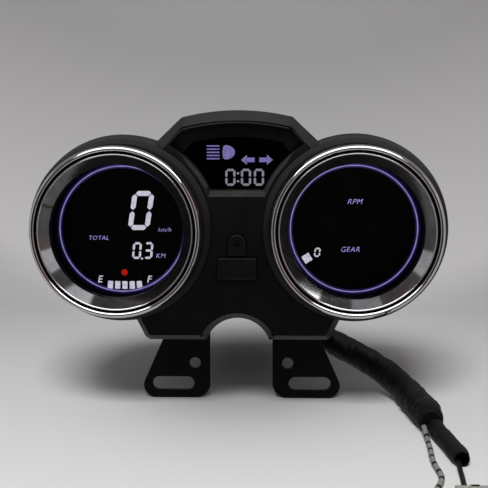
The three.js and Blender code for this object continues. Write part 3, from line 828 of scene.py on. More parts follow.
# ---------- casing ----------
HOOD_TOP, HOOD_SHOULDER, HOOD_SIDE = 70.9, (33.2, 66.8), (60, 41.4)
APRON_FOOT, ARCH_R, ARCH_Z = -67.4, 20.2, -74.3
APRON_SIDE = [(53.5, APRON_FOOT), (56.3, -65.7), (61.7, -55), (66, -46)]
PANEL, SEAM, PODS = 20.0, 40.0, 57.0
SHELL_WALL, REAR_WALL, KEY_GAP = 2.2, 2.6, 0.3
RIDGE_R, SILL_Z, POCKET_CORNER_Z = 58.6, 23.4, 50.4
POCKET_SHOULDER, POCKET_TOP = (31.4, 58.7), 62.3
SHELF = 24.2
SCREWS = [(DIAL_X + 34, 36), (DIAL_X + 34, -36), (-DIAL_X - 34, 36), (-DIAL_X - 34, -36),
          (40, -60.5), (-40, -60.5), (0, 65.6)]
MOUNTS = [(-42, 82), (42, 82), (0, 132)]
CABLE_HOLE = (2, -41.5)
FOLD = (-31.5, -35.5)
LEAN = 0.055


def casing_outline():
    """The casing between the pods, with the front chamfer's width and depth along each edge."""
    foot = math.degrees(math.asin((APRON_FOOT - ARCH_Z) / ARCH_R))
    arch = arc((0, ARCH_Z), ARCH_R, 180 - foot, foot, 44)
    hood = [HOOD_SIDE, *top_arc(HOOD_SHOULDER, HOOD_TOP, 20), (-HOOD_SIDE[0], HOOD_SIDE[1])]
    right, left = APRON_SIDE, mirrored(APRON_SIDE)
    outline = [*arch, *right, *hood, *left]
    hood_start = len(arch) + len(right)
    hood_edges = range(hood_start, hood_start + len(hood) - 1)
    widths = [7.6 if i in hood_edges else 4.0 for i in range(len(outline))]
    widths[hood_edges.start] = widths[hood_edges.stop - 1] = 6.1
    depths = [8.0 if i in hood_edges or i == hood_edges.stop else 6.0 for i in range(len(outline))]
    return outline, widths, depths


def swept(outline, lines):
    """Rings along an outline; each edge has its own line of (inset, depth), all with as many points."""
    rings = []
    for k in range(len(lines[0])):
        shape = offset(outline, [line[k][0] for line in lines])
        rings.append([(x, lines[i][k][1], z) for i, (x, z) in enumerate(shape)])
    return rings


def wall_rings(outline, widths, depths, start, face, turn=1):
    """Rings from the seam at depth start, over the rounded chamfer, to the flat face."""
    lines = [rounded([(0, start), (0, face + turn * depth), (width, face, 0.5), (width + 0.35, face)], 1.0, 4,
                     closed=False) for width, depth in zip(widths, depths)]
    return swept(outline, lines)


def pod_arc(radius, low, high, steps):
    """An arc round the right pod on its inner side, from one height to another."""
    start, end = (180 - math.degrees(math.asin(z / radius)) for z in (low, high))
    return arc((DIAL_X, 0), radius, start, end, steps)


def pocket_outline():
    side = pod_arc(RIDGE_R, SILL_Z, POCKET_CORNER_Z, 22)
    return [*side, *top_arc(POCKET_SHOULDER, POCKET_TOP, 20), *mirrored(side)]


def ridge_width(z):
    """The window's sloping side walls are widest low down and run out towards the hood."""
    return 0.15 + 2.25 * max(0.0, min(1.0, (46.5 - z) / 6))


def pocket_rings():
    """The window's recess: sloping sides and sill, then a straight wall down to the shelf round the pane."""
    outline = pocket_outline()
    slopes = [ridge_width((z + after) / 2) for (_, z), (_, after) in zip(outline, outline[1:])] + [3.7]
    lines = [rounded([(-slope - 0.3, PANEL), (-slope, PANEL), (0, PANEL + 1.05 * slope), (0, SHELF + 1.6)],
                     0.5, 3, closed=False) for slope in slopes]
    return swept(outline, lines)


def window_opening():
    """The shelf's opening, where the pane shows: arc over the top, ridges at the sides, sill below."""
    side = pod_arc(RIDGE_R + 0.5, SILL_Z + 0.5, 45.5, 18)
    return [*side, *top_arc((27, 51.8), 55.2, 18), *mirrored(side)]


SET_KEY = {"half": 5.3, "foot": -15.2, "spring": -8.2}
MODE_KEY = {"half": 11.7, "foot": -29.8, "top": -16.9}


def set_key_outline(grow):
    half, foot = SET_KEY["half"] + grow, SET_KEY["foot"] - grow
    arch = [(x, z, 0) for x, z in arc((0, SET_KEY["spring"]), half, 0, 180, 28)]
    return rounded([(-half, foot), (half, foot), *arch], 0.8)


def mode_key_outline(grow):
    half = MODE_KEY["half"] + grow
    return rounded(rectangle(-half, half, MODE_KEY["foot"] - grow, MODE_KEY["top"] + grow), 1.1, 4)


def key_hole_rings(outline):
    """The rounded rim of a key's hole and its wall through the panel."""
    line = rounded([(-0.45, PANEL), (0, PANEL), (0, PANEL + 2.8)], 0.4, 3, closed=False)
    return [[(x, depth, z) for x, z in offset(outline, inset)] for inset, depth in line]


def lean(x, depth, z):
    """The apron below the fold leans forward a little."""
    weight = max(0.0, min(1.0, (27.5 - depth) / 6))
    top, bottom = FOLD
    share = max(0.0, min(1.0, (top - z) / (top - bottom)))
    down = max(0.0, bottom - z) + share * share * (top - bottom) / 2
    return (x, depth - LEAN * down * weight, z)


def pod_tool(front, back, profile, side):
    return lathe([(0, front), *profile, (0, back)], (side * DIAL_X, 0), 160)


def thickened(obj, facing, thickness):
    """Turns an open skin's flat face to look that way along y, and gives the skin a wall behind it."""
    with edited(obj.data) as work:
        bmesh.ops.recalc_face_normals(work, faces=work.faces)
        if facing * sum(f.normal.y * f.calc_area() for f in work.faces if abs(f.normal.y) > 0.9) < 0:
            bmesh.ops.reverse_faces(work, faces=work.faces)
    wall = obj.modifiers.new("wall", "SOLIDIFY")
    wall.thickness = thickness * MM
    wall.offset = -1
    return settle(obj)


def front_centre():
    """The hood, panel and apron as one skin with a wall, cut where the pods and the keys take over."""
    wall = wall_rings(*casing_outline(), SEAM, PANEL)
    pocket = pocket_rings()
    outlines = (set_key_outline, mode_key_outline)
    holes = [key_hole_rings(outline(KEY_GAP)) for outline in outlines]
    openings = [[(x, z) for x, _, z in rings[0]] for rings in (wall[-1:], pocket, *holes)]
    skin = joined(loops(wall), loops(pocket), *[loops(rings) for rings in holes], filled(openings, PANEL))
    obj = build("front_housing_moulded", skin)
    top, bottom = FOLD
    with edited(obj.data) as work:
        for height in (top, (2 * top + bottom) / 3, (top + 2 * bottom) / 3, bottom):
            bmesh.ops.bisect_plane(work, geom=[*work.verts, *work.edges, *work.faces], dist=1e-7,
                                   plane_co=(0, 0, height * MM), plane_no=(0, 0, 1))
        for vertex in work.verts:
            vertex.co = Vector(lean(*(vertex.co / MM))) * MM
    thickened(obj, -1, SHELL_WALL)
    inside = [(50.3, 4), (50.3, 17), (53, 20.5), (54.4, 30), (55, 34), (55, SEAM + 2)]
    keys = [plate([outline(KEY_GAP - 0.02)], 18, 26, 0.02, 1) for outline in outlines]
    return carve(obj, *[pod_tool(4, SEAM + 2, inside, side) for side in SIDES.values()], *keys)


def front_pod(side):
    profile = [(41.8, 17.4), (46.2, 17.4), (46.2, 6.4), (48.6, 6.4), (48.6, 15.9, 0.2), (51.2, 16.1, 0.6),
               (54.2, 17.8, 1.0), (55, 21, 1), (55.6, 27, 3), (PODS, 32, 3), (PODS, SEAM, 0.4), (53.2, SEAM),
               (53.2, 30), (48.4, 19.6), (41.8, 19.6)]
    return turned(profile, (side * DIAL_X, 0), 224, 0.25, 4)


def add_front_housing():
    centre = front_centre()
    shelf = plate([offset(pocket_outline(), -0.1), window_opening()], SHELF, 29.4, 0.3)
    bosses = [turned(ring_profile(1.8, 3.7, 31, SEAM), at, 32, 0.2, 2) for at in SCREWS]
    absorb(centre, build("pods", joined(*[front_pod(side) for side in SIDES.values()], *bosses, shelf)))
    into_place(centre)
    dress(centre, PLASTIC, "front_housing")


REAR_START, CENTRE_REAR, POD_REAR = 41.6, 50.0, 66.0


def rear_pod(side):
    profile = [(0, POD_REAR), (46, POD_REAR, 1.2), (50.5, 62, 2), (54, 54.5, 2), (PODS, 44, 1.5),
               (PODS, REAR_START, 0.4), (53.2, REAR_START), (53.2, 44), (50.6, 53.6), (47.4, 60.6),
               (44.6, 63.2), (0, 63.2)]
    return turned(profile, (side * DIAL_X, 0), 192, 0.3, 4)


def rib_outline(centre, turn, near, far, half):
    """A straight rib's outline, between two distances from a centre."""
    along = Vector((math.cos(turn), math.sin(turn)))
    over = Vector((-along.y, along.x)) * half
    corners = (along * near - over, along * far - over, along * far + over, along * near + over)
    return [tuple(Vector(centre) + corner) for corner in corners]


def rear_details():
    """Raised rings, a vent grid and stiffening ribs on the rear faces."""
    forms = []
    for side in SIDES.values():
        centre = (side * DIAL_X, 0)
        forms.append(turned([(18, 65.5), (18, 66.9), (19.4, 66.9), (19.4, 65.5)], centre, 96, 0.3))
        for k in range(12):
            turn = math.radians(30 * k + 15)
            middle = Vector(centre) + Vector((math.cos(turn), math.sin(turn))) * 34
            if min((middle - Vector(to_dial(*at))).length for at in MOUNTS[:2]) < 13:
                continue
            forms.append(plate([rib_outline(centre, turn, 19, 43, 0.6)], 65.4, 66.7, 0.25, 2))
    for x in (-11, 11):
        forms.append(block((x - 0.7, x + 0.7), (49.4, 52.6), (-52, 12), 0.3))
    for z in (-12, 4):
        forms.append(block((-13, 13), (49.4, 52.2), (z - 0.7, z + 0.7), 0.3))
    for turn in (200, 250, 290, 340):
        rib = rib_outline(to_dial(*MOUNTS[2]), math.radians(turn), 7.5, 14, 0.7)
        forms.append(plate([rib], 49.2, 58, 0.25, 2))
    return forms


def add_rear_housing():
    outline = casing_outline()[0]
    chamfers = [3.5] * len(outline)
    rings = wall_rings(outline, chamfers, chamfers, REAR_START, CENTRE_REAR, -1)
    face = filled([[(x, z) for x, _, z in rings[-1]]], CENTRE_REAR)
    skin = build("rear_housing_moulded", joined(loops(rings), face))
    thickened(skin, 1, REAR_WALL)
    inside = [(55, 38), (55, 44.5), (52.3, 54), (52.3, 60)]
    carve(skin, *[pod_tool(38, 60, inside, side) for side in SIDES.values()])
    pods = build("pods", joined(*[rear_pod(side) for side in SIDES.values()]))
    mounts = [to_dial(*at) for at in MOUNTS]
    boss = turned([(3.4, 44), (8.5, 44), (8.5, POD_REAR, 0.5), (3.4, POD_REAR)], mounts[2], 64, 0.3)
    wells = [lathe(ring_profile(0, 4, 46, 71), at, 48) for at in SCREWS]
    bolts = [lathe(ring_profile(0, 3.4, 57, 70), at, 48) for at in mounts[:2]]
    carve(skin, *wells[4:], lathe(ring_profile(0, 9, 44, 52), CABLE_HOLE, 64))
    carve(pods, *wells[:4], *bolts)
    cups = []
    for at, top in zip(SCREWS, [60.5] * 4 + [48.6] * 3):
        cup = [(1.8, REAR_START), (5.4, REAR_START), (5.4, top), (4, top), (4, 46), (1.8, 46)]
        cups.append(turned(cup, at, 48, 0.2, 2))
    inserts = [turned(ring_profile(3.4, 7, 54, POD_REAR - 0.6), at, 48, 0.2) for at in mounts[:2]]
    absorb(skin, pods, build("extra", joined(boss, *cups, *inserts, *rear_details())))
    into_place(skin)
    dress(skin, PLASTIC, "rear_housing")


# ---------- dials ----------
DIAL_FACE, CLOCK_FACE = 27.2, 29.8
DIAL_PIECES = [  # name, CAD node, slot, material, sides, corner radius, corner steps, sharp angle, profile
    ("bezel_chrome", "bezel", "chrome", CHROME, 256, 0.2, 4, 50,
     [(46.5, 4.7, 0.1), (46.5, 2.0, 0.5), (47.0, 0.6, 0.8), (48, 0, 0.9), (49.1, 0.6, 0.8), (50, 2.3, 1.2),
      (50, 15.5, 0.3), (49, 15.5, 0.1), (49, 4.7, 0.1)]),
    ("trim_ring_turned", "trim_ring", "satin_chrome", TRIM, 256, 0.2, 4, 50,
     [CONE_START + (0.25,), (45.0, 0.95, 0.3), (45.2, 1.7, 0.3), (45.2, 5, 0), (48.4, 5, 0), (48.4, 6.1, 0),
      (45.9, 6.1, 0), (45.9, 13.2, 0.1), (39.3, 13.2, 0.2), CONE_END + (0.25,)]),
    ("trim_bead", None, None, CHROME, 256, 0, 4, 60,
     [(44.35, 1.6), (44.4, 0.9, 0.25), (44.85, 0.45, 0.3), (45.25, 0.9, 0.25), (45.3, 1.6)]),
    ("lens_glass", "lens", "clear_lens", LENS, 128, 0.3, 3, 35, ring_profile(0, 45.8, 13.5, 15.5)),
    ("gasket_ring", "lens_gasket", "rubber", RUBBER, 128, 0.5, 4, 35, ring_profile(42.2, 45.8, 15.8, 17.1)),
    ("mask_ring", "display_mask", "black_plastic", MASK, 160, 0.25, 3, 35,
     [(39.3, 26.3), (45.6, 25.3), (45.6, 33.6), (44.4, 33.6), (44.4, 29.8), (39.3, 29.8)]),
    ("light_guide", "light_ring", "light_guide", GLOW_RING, 224, 0.1, 3, 35,
     [(37.15, 29.3), (37.15, 27.2, 0.5), (37.7, 26.6, 0.4), (38.3, 26.6, 0.4), (38.85, 27.2, 0.5),
      (38.85, 29.3)]),
    ("display_face", "lcd", "display_glass", DISPLAY, 160, 0.15, 2, 35,
     ring_profile(0, 36.8, DIAL_FACE, 29.2)),
]


def add_dial(side):
    for name, node, slot, material, sides, corner, steps, sharp, profile in DIAL_PIECES:
        form = turned(profile, (SIDES[side] * DIAL_X, 0), sides, corner, steps)
        make(f"{side}_{name}", form, material, f"{side}_{node}" if node else (), sharp=sharp)


# ---------- display figures: flat shapes just proud of the display glass ----------
INK_T = 0.06
SEGMENTS = {"0": "abcdef", "3": "abcdg"}


def digit(lit_segments, left, foot, width, height, thick, slant):
    """The lit bars of a seven-segment figure, each with pointed ends."""
    gap = thick * 0.14
    half, bar = height / 2, thick / 2
    right = width
    middles = {"a": ((0, height - bar), (right, height - bar)), "g": ((0, half), (right, half)),
               "d": ((0, bar), (right, bar)), "f": ((bar, half), (bar, height)),
               "b": ((right - bar, half), (right - bar, height)), "e": ((bar, 0), (bar, half)),
               "c": ((right - bar, 0), (right - bar, half))}
    shapes = []
    for name in lit_segments:
        (x0, z0), (x1, z1) = middles[name]
        if name in "adg":
            a, b = x0 + bar + gap, x1 - bar - gap
            shape = [(a, z0), (a + bar * 0.9, z0 - bar), (b - bar * 0.9, z0 - bar), (b, z0),
                     (b - bar * 0.9, z0 + bar), (a + bar * 0.9, z0 + bar)]
        else:
            low = z0 + (bar + gap if name in "ec" else gap)
            high = z1 - (gap if name in "ec" else bar + gap)
            shape = [(x0, low), (x0 + bar, low + bar * 0.9), (x0 + bar, high - bar * 0.9), (x0, high),
                     (x0 - bar, high - bar * 0.9), (x0 - bar, low + bar * 0.9)]
        shapes.append([(left + x + slant * z, foot + z) for x, z in shape])
    return shapes


def tilted(outline, degrees):
    turn = math.radians(degrees)
    cx, cz = sum(p[0] for p in outline) / len(outline), sum(p[1] for p in outline) / len(outline)
    return [(cx + (x - cx) * math.cos(turn) - (z - cz) * math.sin(turn),
             cz + (x - cx) * math.sin(turn) + (z - cz) * math.cos(turn)) for x, z in outline]


def ink(name, shapes, depth, material, shift=0.0):
    """Flat lit shapes, in front of the display at that depth."""
    forms = [plate([[(x + shift, z) for x, z in shape]], depth - INK_T, depth - 0.005, 0.015, 1)
             for shape in shapes]
    return make(name, joined(*forms), material, sharp=30)


def wording(name, entries, depth, material, shift=0.0, weight=-0.022):
    """Plain generic captions; each entry is (words, centre x, foot z, cap height, slant)."""
    meshes = []
    for words, x, foot, height, slant in entries:
        curve = bpy.data.curves.new(name, "FONT")
        curve.body = words
        curve.size = height / 0.73
        curve.align_x = "CENTER"
        curve.shear = slant
        curve.offset = height * weight
        curve.space_character = 1.1
        curve.extrude = INK_T / 2 - 0.003
        curve.resolution_u = 4
        text = linked(name, curve)
        bpy.context.view_layer.update()
        data = bpy.data.meshes.new_from_object(text.evaluated_get(bpy.context.evaluated_depsgraph_get()))
        bpy.data.objects.remove(text)
        place = Matrix.Translation(metres(in_dials(x + shift, depth - INK_T / 2, foot)))
        data.transform(place @ Matrix.Scale(MM, 4) @ Matrix.Rotation(math.radians(90), 4, "X"))
        meshes.append(data)
    return dress(linked(name, merged(name, *meshes)), material, weighted=False)


def fuel_bars():
    """Five blocks on a shallow arc between E and F."""
    bars = []
    for k in range(5):
        x = -7.9 + 4.45 * k
        dip = 0.0026 * (x - 1) ** 2
        bar = rounded(rectangle(x - 1.6, x + 1.6, -36.6 + dip, -31.9 + dip), 0.5, 2)
        bars.append(tilted(bar, (x - 1) * 0.55))
    return bars


def high_beam():
    """The usual main-beam sign: a lamp and five rays, drawn plainly."""
    lamp = arc((-7.2, 46), 4.3, -90, 90, 20)
    lamp = [(-7.2 + (x + 7.2) * 1.35, z) for x, z in lamp] + [(-8.4, 49.6), (-9.0, 46), (-8.4, 42.4)]
    rays = [rounded(rectangle(-18.4, -10.6, z - 0.42, z + 0.42), 0.3) for z in (42.2, 44.1, 46, 47.9, 49.8)]
    return [lamp, *rays]


def turn_arrows():
    arrow = [(0, 0), (3.6, 3.0), (3.6, 1.35), (8.2, 1.35), (8.2, -1.35), (3.6, -1.35), (3.6, -3.0)]
    left = [(2.2 + x, 41.4 + z) for x, z in arrow][::-1]
    right = [(21.4 - x, 41.4 + z) for x, z in arrow]
    return [left, right]


def add_figures():
    left, right = -DIAL_X, DIAL_X
    speed = digit(SEGMENTS["0"], 3.1, -0.6, 13.2, 23.6, 3.0, 0.16)
    trip = [shape for figure, x in (("0", 5.5), ("3", 12.5))
            for shape in digit(SEGMENTS[figure], x, -18.2, 5.4, 10.2, 1.35, 0.1)]
    trip.append(circle((11.7, -18.0), 0.62, 16))
    ink("left_figures", [*speed, *trip, *fuel_bars()], DIAL_FACE, WHITE_INK, left)
    captions = [("km/h", 25.6, -1.6, 2.7, 0.25), ("TOTAL", -14.6, -6.6, 2.7, 0.2),
                ("KM", 23.0, -17.6, 2.9, 0.2)]
    wording("left_captions", captions, DIAL_FACE, VIOLET_INK, left)
    ends = [("E", -14.4, -32.6, 4.3, 0.2), ("F", 15.7, -32.6, 4.3, 0.2)]
    wording("left_fuel_letters", ends, DIAL_FACE, WHITE_INK, left, 0.02)
    ink("left_warning_lamp", [circle((0.9, -26.5), 1.9, 28)], DIAL_FACE, RED_INK, left)
    block_on = tilted(rectangle(-30.4, -25.4, -20.2, -15.2), 32)
    zero = digit(SEGMENTS["0"], -23.9, -16.9, 3.7, 5.6, 0.95, 0.12)
    ink("right_figures", [block_on, *zero], DIAL_FACE, WHITE_INK, right)
    captions = [("RPM", 0.3, 14.9, 3.3, 0.3), ("GEAR", -2.1, -13.8, 3.2, 0.25)]
    wording("right_captions", captions, DIAL_FACE, VIOLET_INK, right)
    clock = [shape for x in (-7.3, 2.1, 9.9) for shape in digit(SEGMENTS["0"], x, 25.9, 6.2, 10.2, 1.4, 0.0)]
    clock += [circle((0.4, z), 0.72, 16) for z in (28.6, 33.4)]
    ink("clock_figures", clock, CLOCK_FACE, WHITE_INK)
    ink("indicator_signs", [*high_beam(), *turn_arrows()], CLOCK_FACE, VIOLET_INK)


# ---------- clock window and keys ----------


def add_window():
    pane = plate([offset(window_opening(), 0.12)], 24.6, 26.7, 0.25)
    make("centre_window_pane", pane, SMOKED, "centre_window")
    face = plate([offset(pocket_outline(), 2.3)], CLOCK_FACE, 31.5, 0.1, 2)
    make("centre_display_face", face, DISPLAY_PLAIN, "centre_lcd")


def key_cap(key, outline, post, *cuts):
    """A push key: its cap, the flange behind the panel and the post that presses the switch."""
    cap = plate([outline(0)], 18.3, 23.3, 0.7, 5)
    flange = plate([outline(0.7)], 23.2, 24.4, 0.2, 2)
    stem = turned([(0, 24), (1.8, 24), (1.8, 27, 0.3), (0, 27)], (0, post), 32, 0.1, 2)
    obj = build(key + "_key", joined(cap, flange, stem))
    carve(obj, *cuts)
    into_place(obj)
    obj.name = key + "_button_cap"
    dress(obj, KEY_PLASTIC, key + "_button", key + "_key")


def add_keys():
    spring = SET_KEY["spring"]
    centre = (0, spring - 0.4)
    dimple = lathe([(0, 16), (2.0, 16), (2.0, 18.2), (1.5, 18.95), (0, 19.1)], centre, 40)
    key_cap("set", set_key_outline, spring - 1.5, dimple)
    stud = [(0, 18.35), (0.9, 18.35), (1.25, 18.75), (1.25, 19.2), (0, 19.2)]
    make("set_button_stud", turned(stud, centre, 32, 0.2), MASK, body="set_key")
    key_cap("mode", mode_key_outline, (MODE_KEY["foot"] + MODE_KEY["top"]) / 2)


# ---------- bracket and fasteners, in the row frame ----------


TAB_SLOT, TAB_SLOT_X, TAB_HOLE = (28, 8.9), 45.7, (31, 13.9)


def bracket_half():
    """The right half of the plate's outline, from the notch's top round to the top of the upper eye."""
    return [
        (0, 80), (14.8, 80), *arc((14.8, 74), 6, 90, 0, 10)[1:],
        (20.8, 0), *arc((30.8, 0), 10, 180, 270, 14)[1:],
        (57.3, FLOOR), *arc((57.3, -1.5), 8.5, -90, 22.9, 16)[1:], (52.5, 30), (52.5, 82),
        *arc((42, 82), 10.5, 0, 90, 16)[1:], (16.5, 92.5),
        *arc((16.5, 98.5), 6, -90, -180, 10)[1:], (10.5, 132),
        *arc((0, 132), 10.5, 0, 90, 16)[1:],
    ]


def add_bracket():
    half = bracket_half()
    outline = [*half[:-1], *[(-x, z) for x, z in reversed(half[1:])]]
    length, width = TAB_SLOT
    reach = (length - width) / 2
    holes = [[*arc((x + reach, 0), width / 2, -90, 90, 20), *arc((x - reach, 0), width / 2, 90, 270, 20)]
             for x in (TAB_SLOT_X, -TAB_SLOT_X)]
    holes += [circle((s * TAB_HOLE[0], TAB_HOLE[1]), 3.7, 48) for s in (-1, 1)]
    holes += [circle(at, 3.6, 40) for at in MOUNTS]
    make("mounting_bracket_plate", plate([outline, *holes], -3, 0, 0.3), STEEL, "mounting_bracket",
         dials=False)
    bush = [(3.4, -11.7), (7.5, -11.7), (7.5, -9.4), (6.9, -8.6), (6.9, -6.4), (7.5, -5.6), (7.5, -3.3),
            (3.4, -3.3)]
    washer = ring_profile(3.4, 8.5, 0.3, 1.8)
    for number, at in enumerate(MOUNTS, 1):
        make(f"bush_{number}", turned(bush, at, 64, 0.35), RUBBER, f"bracket_bush_{number}",
             dials=False)
        make(f"washer_{number}", turned(washer, at, 72, 0.2), ZINC, f"bracket_washer_{number}",
             dials=False)
        head = build(f"bolt_{number}", plate([circle(at, 5.2, 6)], 3.0, 7.1, 0.02, 1))
        chamfered = lathe([(0, 2.6), (6.4, 2.6), (6.4, 6.0), (4.75, 7.1), (0, 7.1)], at, 64)
        boolean(head, "INTERSECT", build("tool", chamfered))
        flange = turned([(0, 2.1), (6.6, 2.1), (6.6, 2.7), (5.0, 3.3), (0, 3.3)], at, 64, 0.15)
        absorb(head, build("rest", joined(flange, thread(at, -18, 2.4, 3.0, 1.0))))
        dress(head, ZINC, f"bracket_bolt_{number}")


def thread(at, start, end, radius, pitch):
    """A bolt's shank with ring-cut thread form."""
    profile = [(0, start), (radius - 0.6, start)]
    depth = start + 0.5
    while depth < end - 6:
        profile += [(radius - 0.45, depth), (radius, depth + pitch * 0.4), (radius, depth + pitch * 0.55)]
        depth += pitch
    profile += [(radius, depth + 0.2), (radius, end), (0, end)]
    return lathe(profile, at, 40)


def cover_screw(number, at):
    """A pan-head screw with a cross recess."""
    profile = [(0, 35.5), (1.4, 36.2)]
    depth = 36.6
    while depth < 45:
        profile += [(1.05, depth), (1.4, depth + 0.35)]
        depth += 0.8
    profile += [(1.4, 46.3), (3.2, 46.3, 0.15), (3.2, 47.3, 0.5), (2.2, 48.6, 0.7), (0, 48.6)]
    screw = build(f"screw_{number}", turned(profile, at, 40, 0.05))
    x, z = at
    for wide, high in ((1.75, 0.34), (0.34, 1.75)):
        carve(screw, plate([rectangle(x - wide, x + wide, z - high, z + high)], 47.5, 49.4, 0.02, 1))
    into_place(screw)
    dress(screw, ZINC, f"cover_screw_{number}")


def add_grommet():
    """A rubber grommet in the rear wall, with a ribbed neck as far as the harness's exit."""
    wall = CENTRE_REAR
    end = TRUNK[0][1] - 0.3 - FACE_Y
    profile = [(0, wall - 3.2), (8.7, wall - 3.2, 0.3), (8.7, wall + 0.3, 0.2), (11.5, wall + 0.3, 0.3),
               (11.5, wall + 2.3, 0.8), (9.6, wall + 3, 0.5)]
    steps = 3
    for k in range(steps):
        start, crest, groove = wall + 3.6 + k * (end - wall - 3.6) / steps, 9.3 - 0.35 * k, 8.5 - 0.25 * k
        profile += [(crest, start, 0.2), (crest, start + 0.9, 0.2), (groove, start + 1.2, 0.2),
                    (groove, start + 1.6, 0.2)]
    profile += [(7.9, end, 0.4), (0, end)]
    make("harness_grommet_ribbed", turned(profile, CABLE_HOLE, 80, 0.2), RUBBER, "harness_grommet")


def dress_cad_nodes():
    """The nodes that stay as packed get their slot's finish."""
    slots = {part["node"]: part["material_slot"] for part in frame["record"]["subparts"]}
    for name, node in frame["nodes"].items():
        if node.hide_render:
            continue
        node.data.materials.clear()
        node.data.materials.append(FINISH_OF_SLOT[slots[name]])


# ---------- stage and light ----------


def backdrop():
    """A pale floor swept up into a wall well behind the object, with painted light falloff and a painted soft
    shadow under and behind the object.
    """
    low, floor_back, curve = FLOOR * MM, 0.34, 0.5
    profile = [(-1.9, low), (floor_back, low)]
    for k in range(1, 13):
        turn = math.radians(90 * k / 12)
        profile.append((floor_back + curve * math.sin(turn), low + curve * (1 - math.cos(turn))))
    profile.append((floor_back + curve, low + 2.2))
    vertices = [(x, y, z) for x in (-2.2, 2.2) for y, z in profile]
    count = len(profile)
    faces = [(i, i + 1, count + i + 1, count + i) for i in range(count - 1)]
    sweep = build("backdrop", (vertices, faces), scale=1.0, weld=1e-5)
    for face in sweep.data.polygons:
        face.use_smooth = True
    made = Shader("backdrop_paper")
    x, y, z = made.axes()
    # Painted light falloff on the paper: lighter towards the back of the floor and the foot of the wall,
    # darker higher up the wall and towards its middle, a little uneven.
    height = made.add(z, made.times(made.noise(60, 4), 0.01))
    height = made.add(height, made.times(y, 0.12))
    height = made.math("SUBTRACT", height, made.times(made.times(x, x), 0.7))
    tone = made.ramp(height, (0.0, srgb(223, 223, 223)), (0.04, srgb(240, 240, 240)),
                     (0.4, srgb(192, 192, 193)))
    # A painted soft shadow on the floor under and behind the object.
    across = made.math("DIVIDE", x, 0.086)
    along = made.math("DIVIDE", made.math("SUBTRACT", y, 0.1), 0.15)
    away = made.add(made.times(across, across), made.times(along, along))
    painted_shadow = made.math("POWER", NATURAL, made.times(away, -1.3))
    shade = made.mix(made.times(painted_shadow, 0.9), tone, (0.02, 0.02, 0.02, 1))
    made.set(Base_Color=shade, Roughness=0.75, Normal=made.bump(made.noise(0.6, 2), 0.01))
    sweep.data.materials.append(made.material)
    return sweep


def area_light(name, place, target, size, power, receivers):
    """A rectangular lamp that lights only its receivers."""
    data = bpy.data.lights.new(name, "AREA")
    data.shape = "RECTANGLE"
    data.size, data.size_y = size
    data.energy = power
    lamp = linked(name, data)
    lamp.location = place
    lamp.rotation_euler = (Vector(target) - Vector(place)).to_track_quat("-Z", "Y").to_euler()
    group = bpy.data.collections.new(name + "_receivers")
    for obj in receivers:
        group.objects.link(obj)
    lamp.light_linking.receiver_collection = group


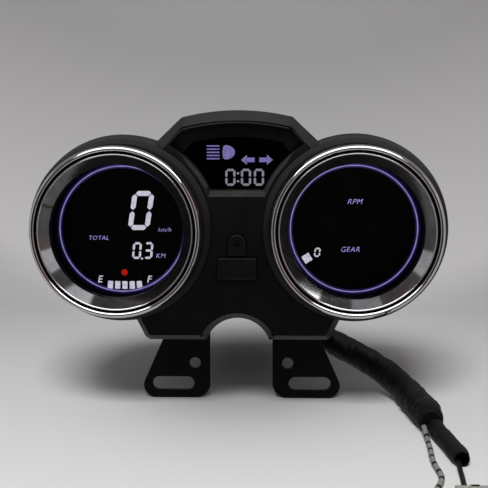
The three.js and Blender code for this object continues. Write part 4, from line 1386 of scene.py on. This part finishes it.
def room():
    """A dim room: a lit ceiling, pale surfaces behind the object, dark and a little brown in front of it."""
    world = bpy.data.worlds.new("room")
    bpy.context.scene.world = world
    world.use_nodes = True
    tree = world.node_tree
    nodes, links = tree.nodes, tree.links
    ray = nodes.new("ShaderNodeTexCoord").outputs["Generated"]
    split = nodes.new("ShaderNodeSeparateXYZ")
    links.new(ray, split.inputs[0])

    def band(axis, *stops):
        """A brightness that changes along one axis of the ray's direction, from -1 to 1."""
        spread = nodes.new("ShaderNodeMapRange")
        spread.inputs["From Min"].default_value = -1
        links.new(split.outputs[axis], spread.inputs["Value"])
        made = nodes.new("ShaderNodeValToRGB")
        while len(made.color_ramp.elements) < len(stops):
            made.color_ramp.elements.new(0.5)
        for element, (at, level) in zip(made.color_ramp.elements, stops):
            element.position = (at + 1) / 2
            element.color = (level, level, level, 1)
        links.new(spread.outputs["Result"], made.inputs["Fac"])
        return made.outputs["Color"]

    def blend(kind, a, b):
        made = nodes.new("ShaderNodeMix")
        made.data_type = "RGBA"
        made.blend_type = kind
        made.inputs["Factor"].default_value = 1
        links.new(a, made.inputs["A"])
        links.new(b, made.inputs["B"])
        return made.outputs["Result"]

    behind = band("Y", (-1, 0.015), (-0.8, 0.025), (-0.55, 0.2), (0.05, 0.26), (1, 0.34))
    heights = band("Z", (-1, 1.1), (-0.5, 1.0), (-0.25, 0.8), (0.05, 0.7), (0.5, 0.7), (0.85, 0.5))
    patches = nodes.new("ShaderNodeTexNoise")
    patches.inputs["Scale"].default_value = 1.7
    patches.inputs["Detail"].default_value = 1
    links.new(ray, patches.inputs["Vector"])
    brown = nodes.new("ShaderNodeValToRGB")
    brown.color_ramp.elements[0].position = 0.5
    brown.color_ramp.elements[0].color = (0, 0, 0, 1)
    brown.color_ramp.elements[1].position = 0.62
    brown.color_ramp.elements[1].color = (0.12, 0.045, 0.028, 1)
    links.new(patches.outputs["Fac"], brown.inputs["Fac"])
    ahead = band("Y", (-1, 1), (-0.3, 1), (0.1, 0))
    total = blend("ADD", blend("MULTIPLY", behind, heights), blend("MULTIPLY", brown.outputs["Color"], ahead))
    links.new(total, nodes["Background"].inputs["Color"])


def add_stage():
    sweep = backdrop()
    sweep.visible_diffuse = False
    sweep.visible_glossy = False
    sweep.visible_shadow = False
    things = [o for o in bpy.context.scene.objects if o.type == "MESH" and o is not sweep]
    plated = [o for o in things if "bead" in o.name or "bezel" in o.name]
    cones = {side: [o for o in things if o.name == side + "_trim_ring_turned"] for side in SIDES}
    dull = [o for o in things if o not in plated + cones["left"] + cones["right"]]
    middle, face = (0, -0.06, 0.1), (0, -0.05, 0.1)
    area_light("stage_key", (-0.06, -1.0, 0.92), (0, 0.1, 0), (0.42, 0.3), 18, [sweep])
    area_light("softbox_top", (0, -0.2, 0.95), middle, (1.3, 0.42), 2.8, dull)
    for side, sign in SIDES.items():
        area_light("softbox_" + side, (sign * 0.78, -0.2, 0.72), middle, (0.3, 0.4), 0.95, dull)
        area_light("flank_" + side, (sign * 0.8, -0.2, 0.1), face, (0.5, 1.0), 0.3, plated)
    area_light("strip_high", (0.3, -0.28, 0.95), face, (0.24, 0.4), 0.4, cones["left"])
    area_light("strip_low", (0.88, -0.2, 0.5), face, (0.3, 0.4), 0.36, cones["left"])
    area_light("strip_corner", (0.72, -0.13, 0.72), face, (0.3, 0.3), 1.5, cones["right"])
    area_light("strip_top", (0.04, -0.28, 0.95), face, (0.4, 0.4), 0.24, cones["right"])
    area_light("strip_far", (-0.88, -0.2, 0.5), face, (0.3, 0.4), 0.29, cones["right"])
    area_light("flank_over", (0, -0.45, 0.85), face, (1.2, 0.95), 7, plated)
    area_light("flank_under", (0, -0.2, -0.6), face, (1.2, 0.5), 0.25, plated)
    room()


bpy.context.scene.view_settings.view_transform = "Standard"
add_harness()
add_front_housing()
add_rear_housing()
for dial_side in SIDES:
    add_dial(dial_side)
add_window()
add_figures()
add_keys()
add_bracket()
for screw_number, screw_at in enumerate(SCREWS, 1):
    cover_screw(screw_number, screw_at)
add_grommet()
dress_cad_nodes()
add_stage()
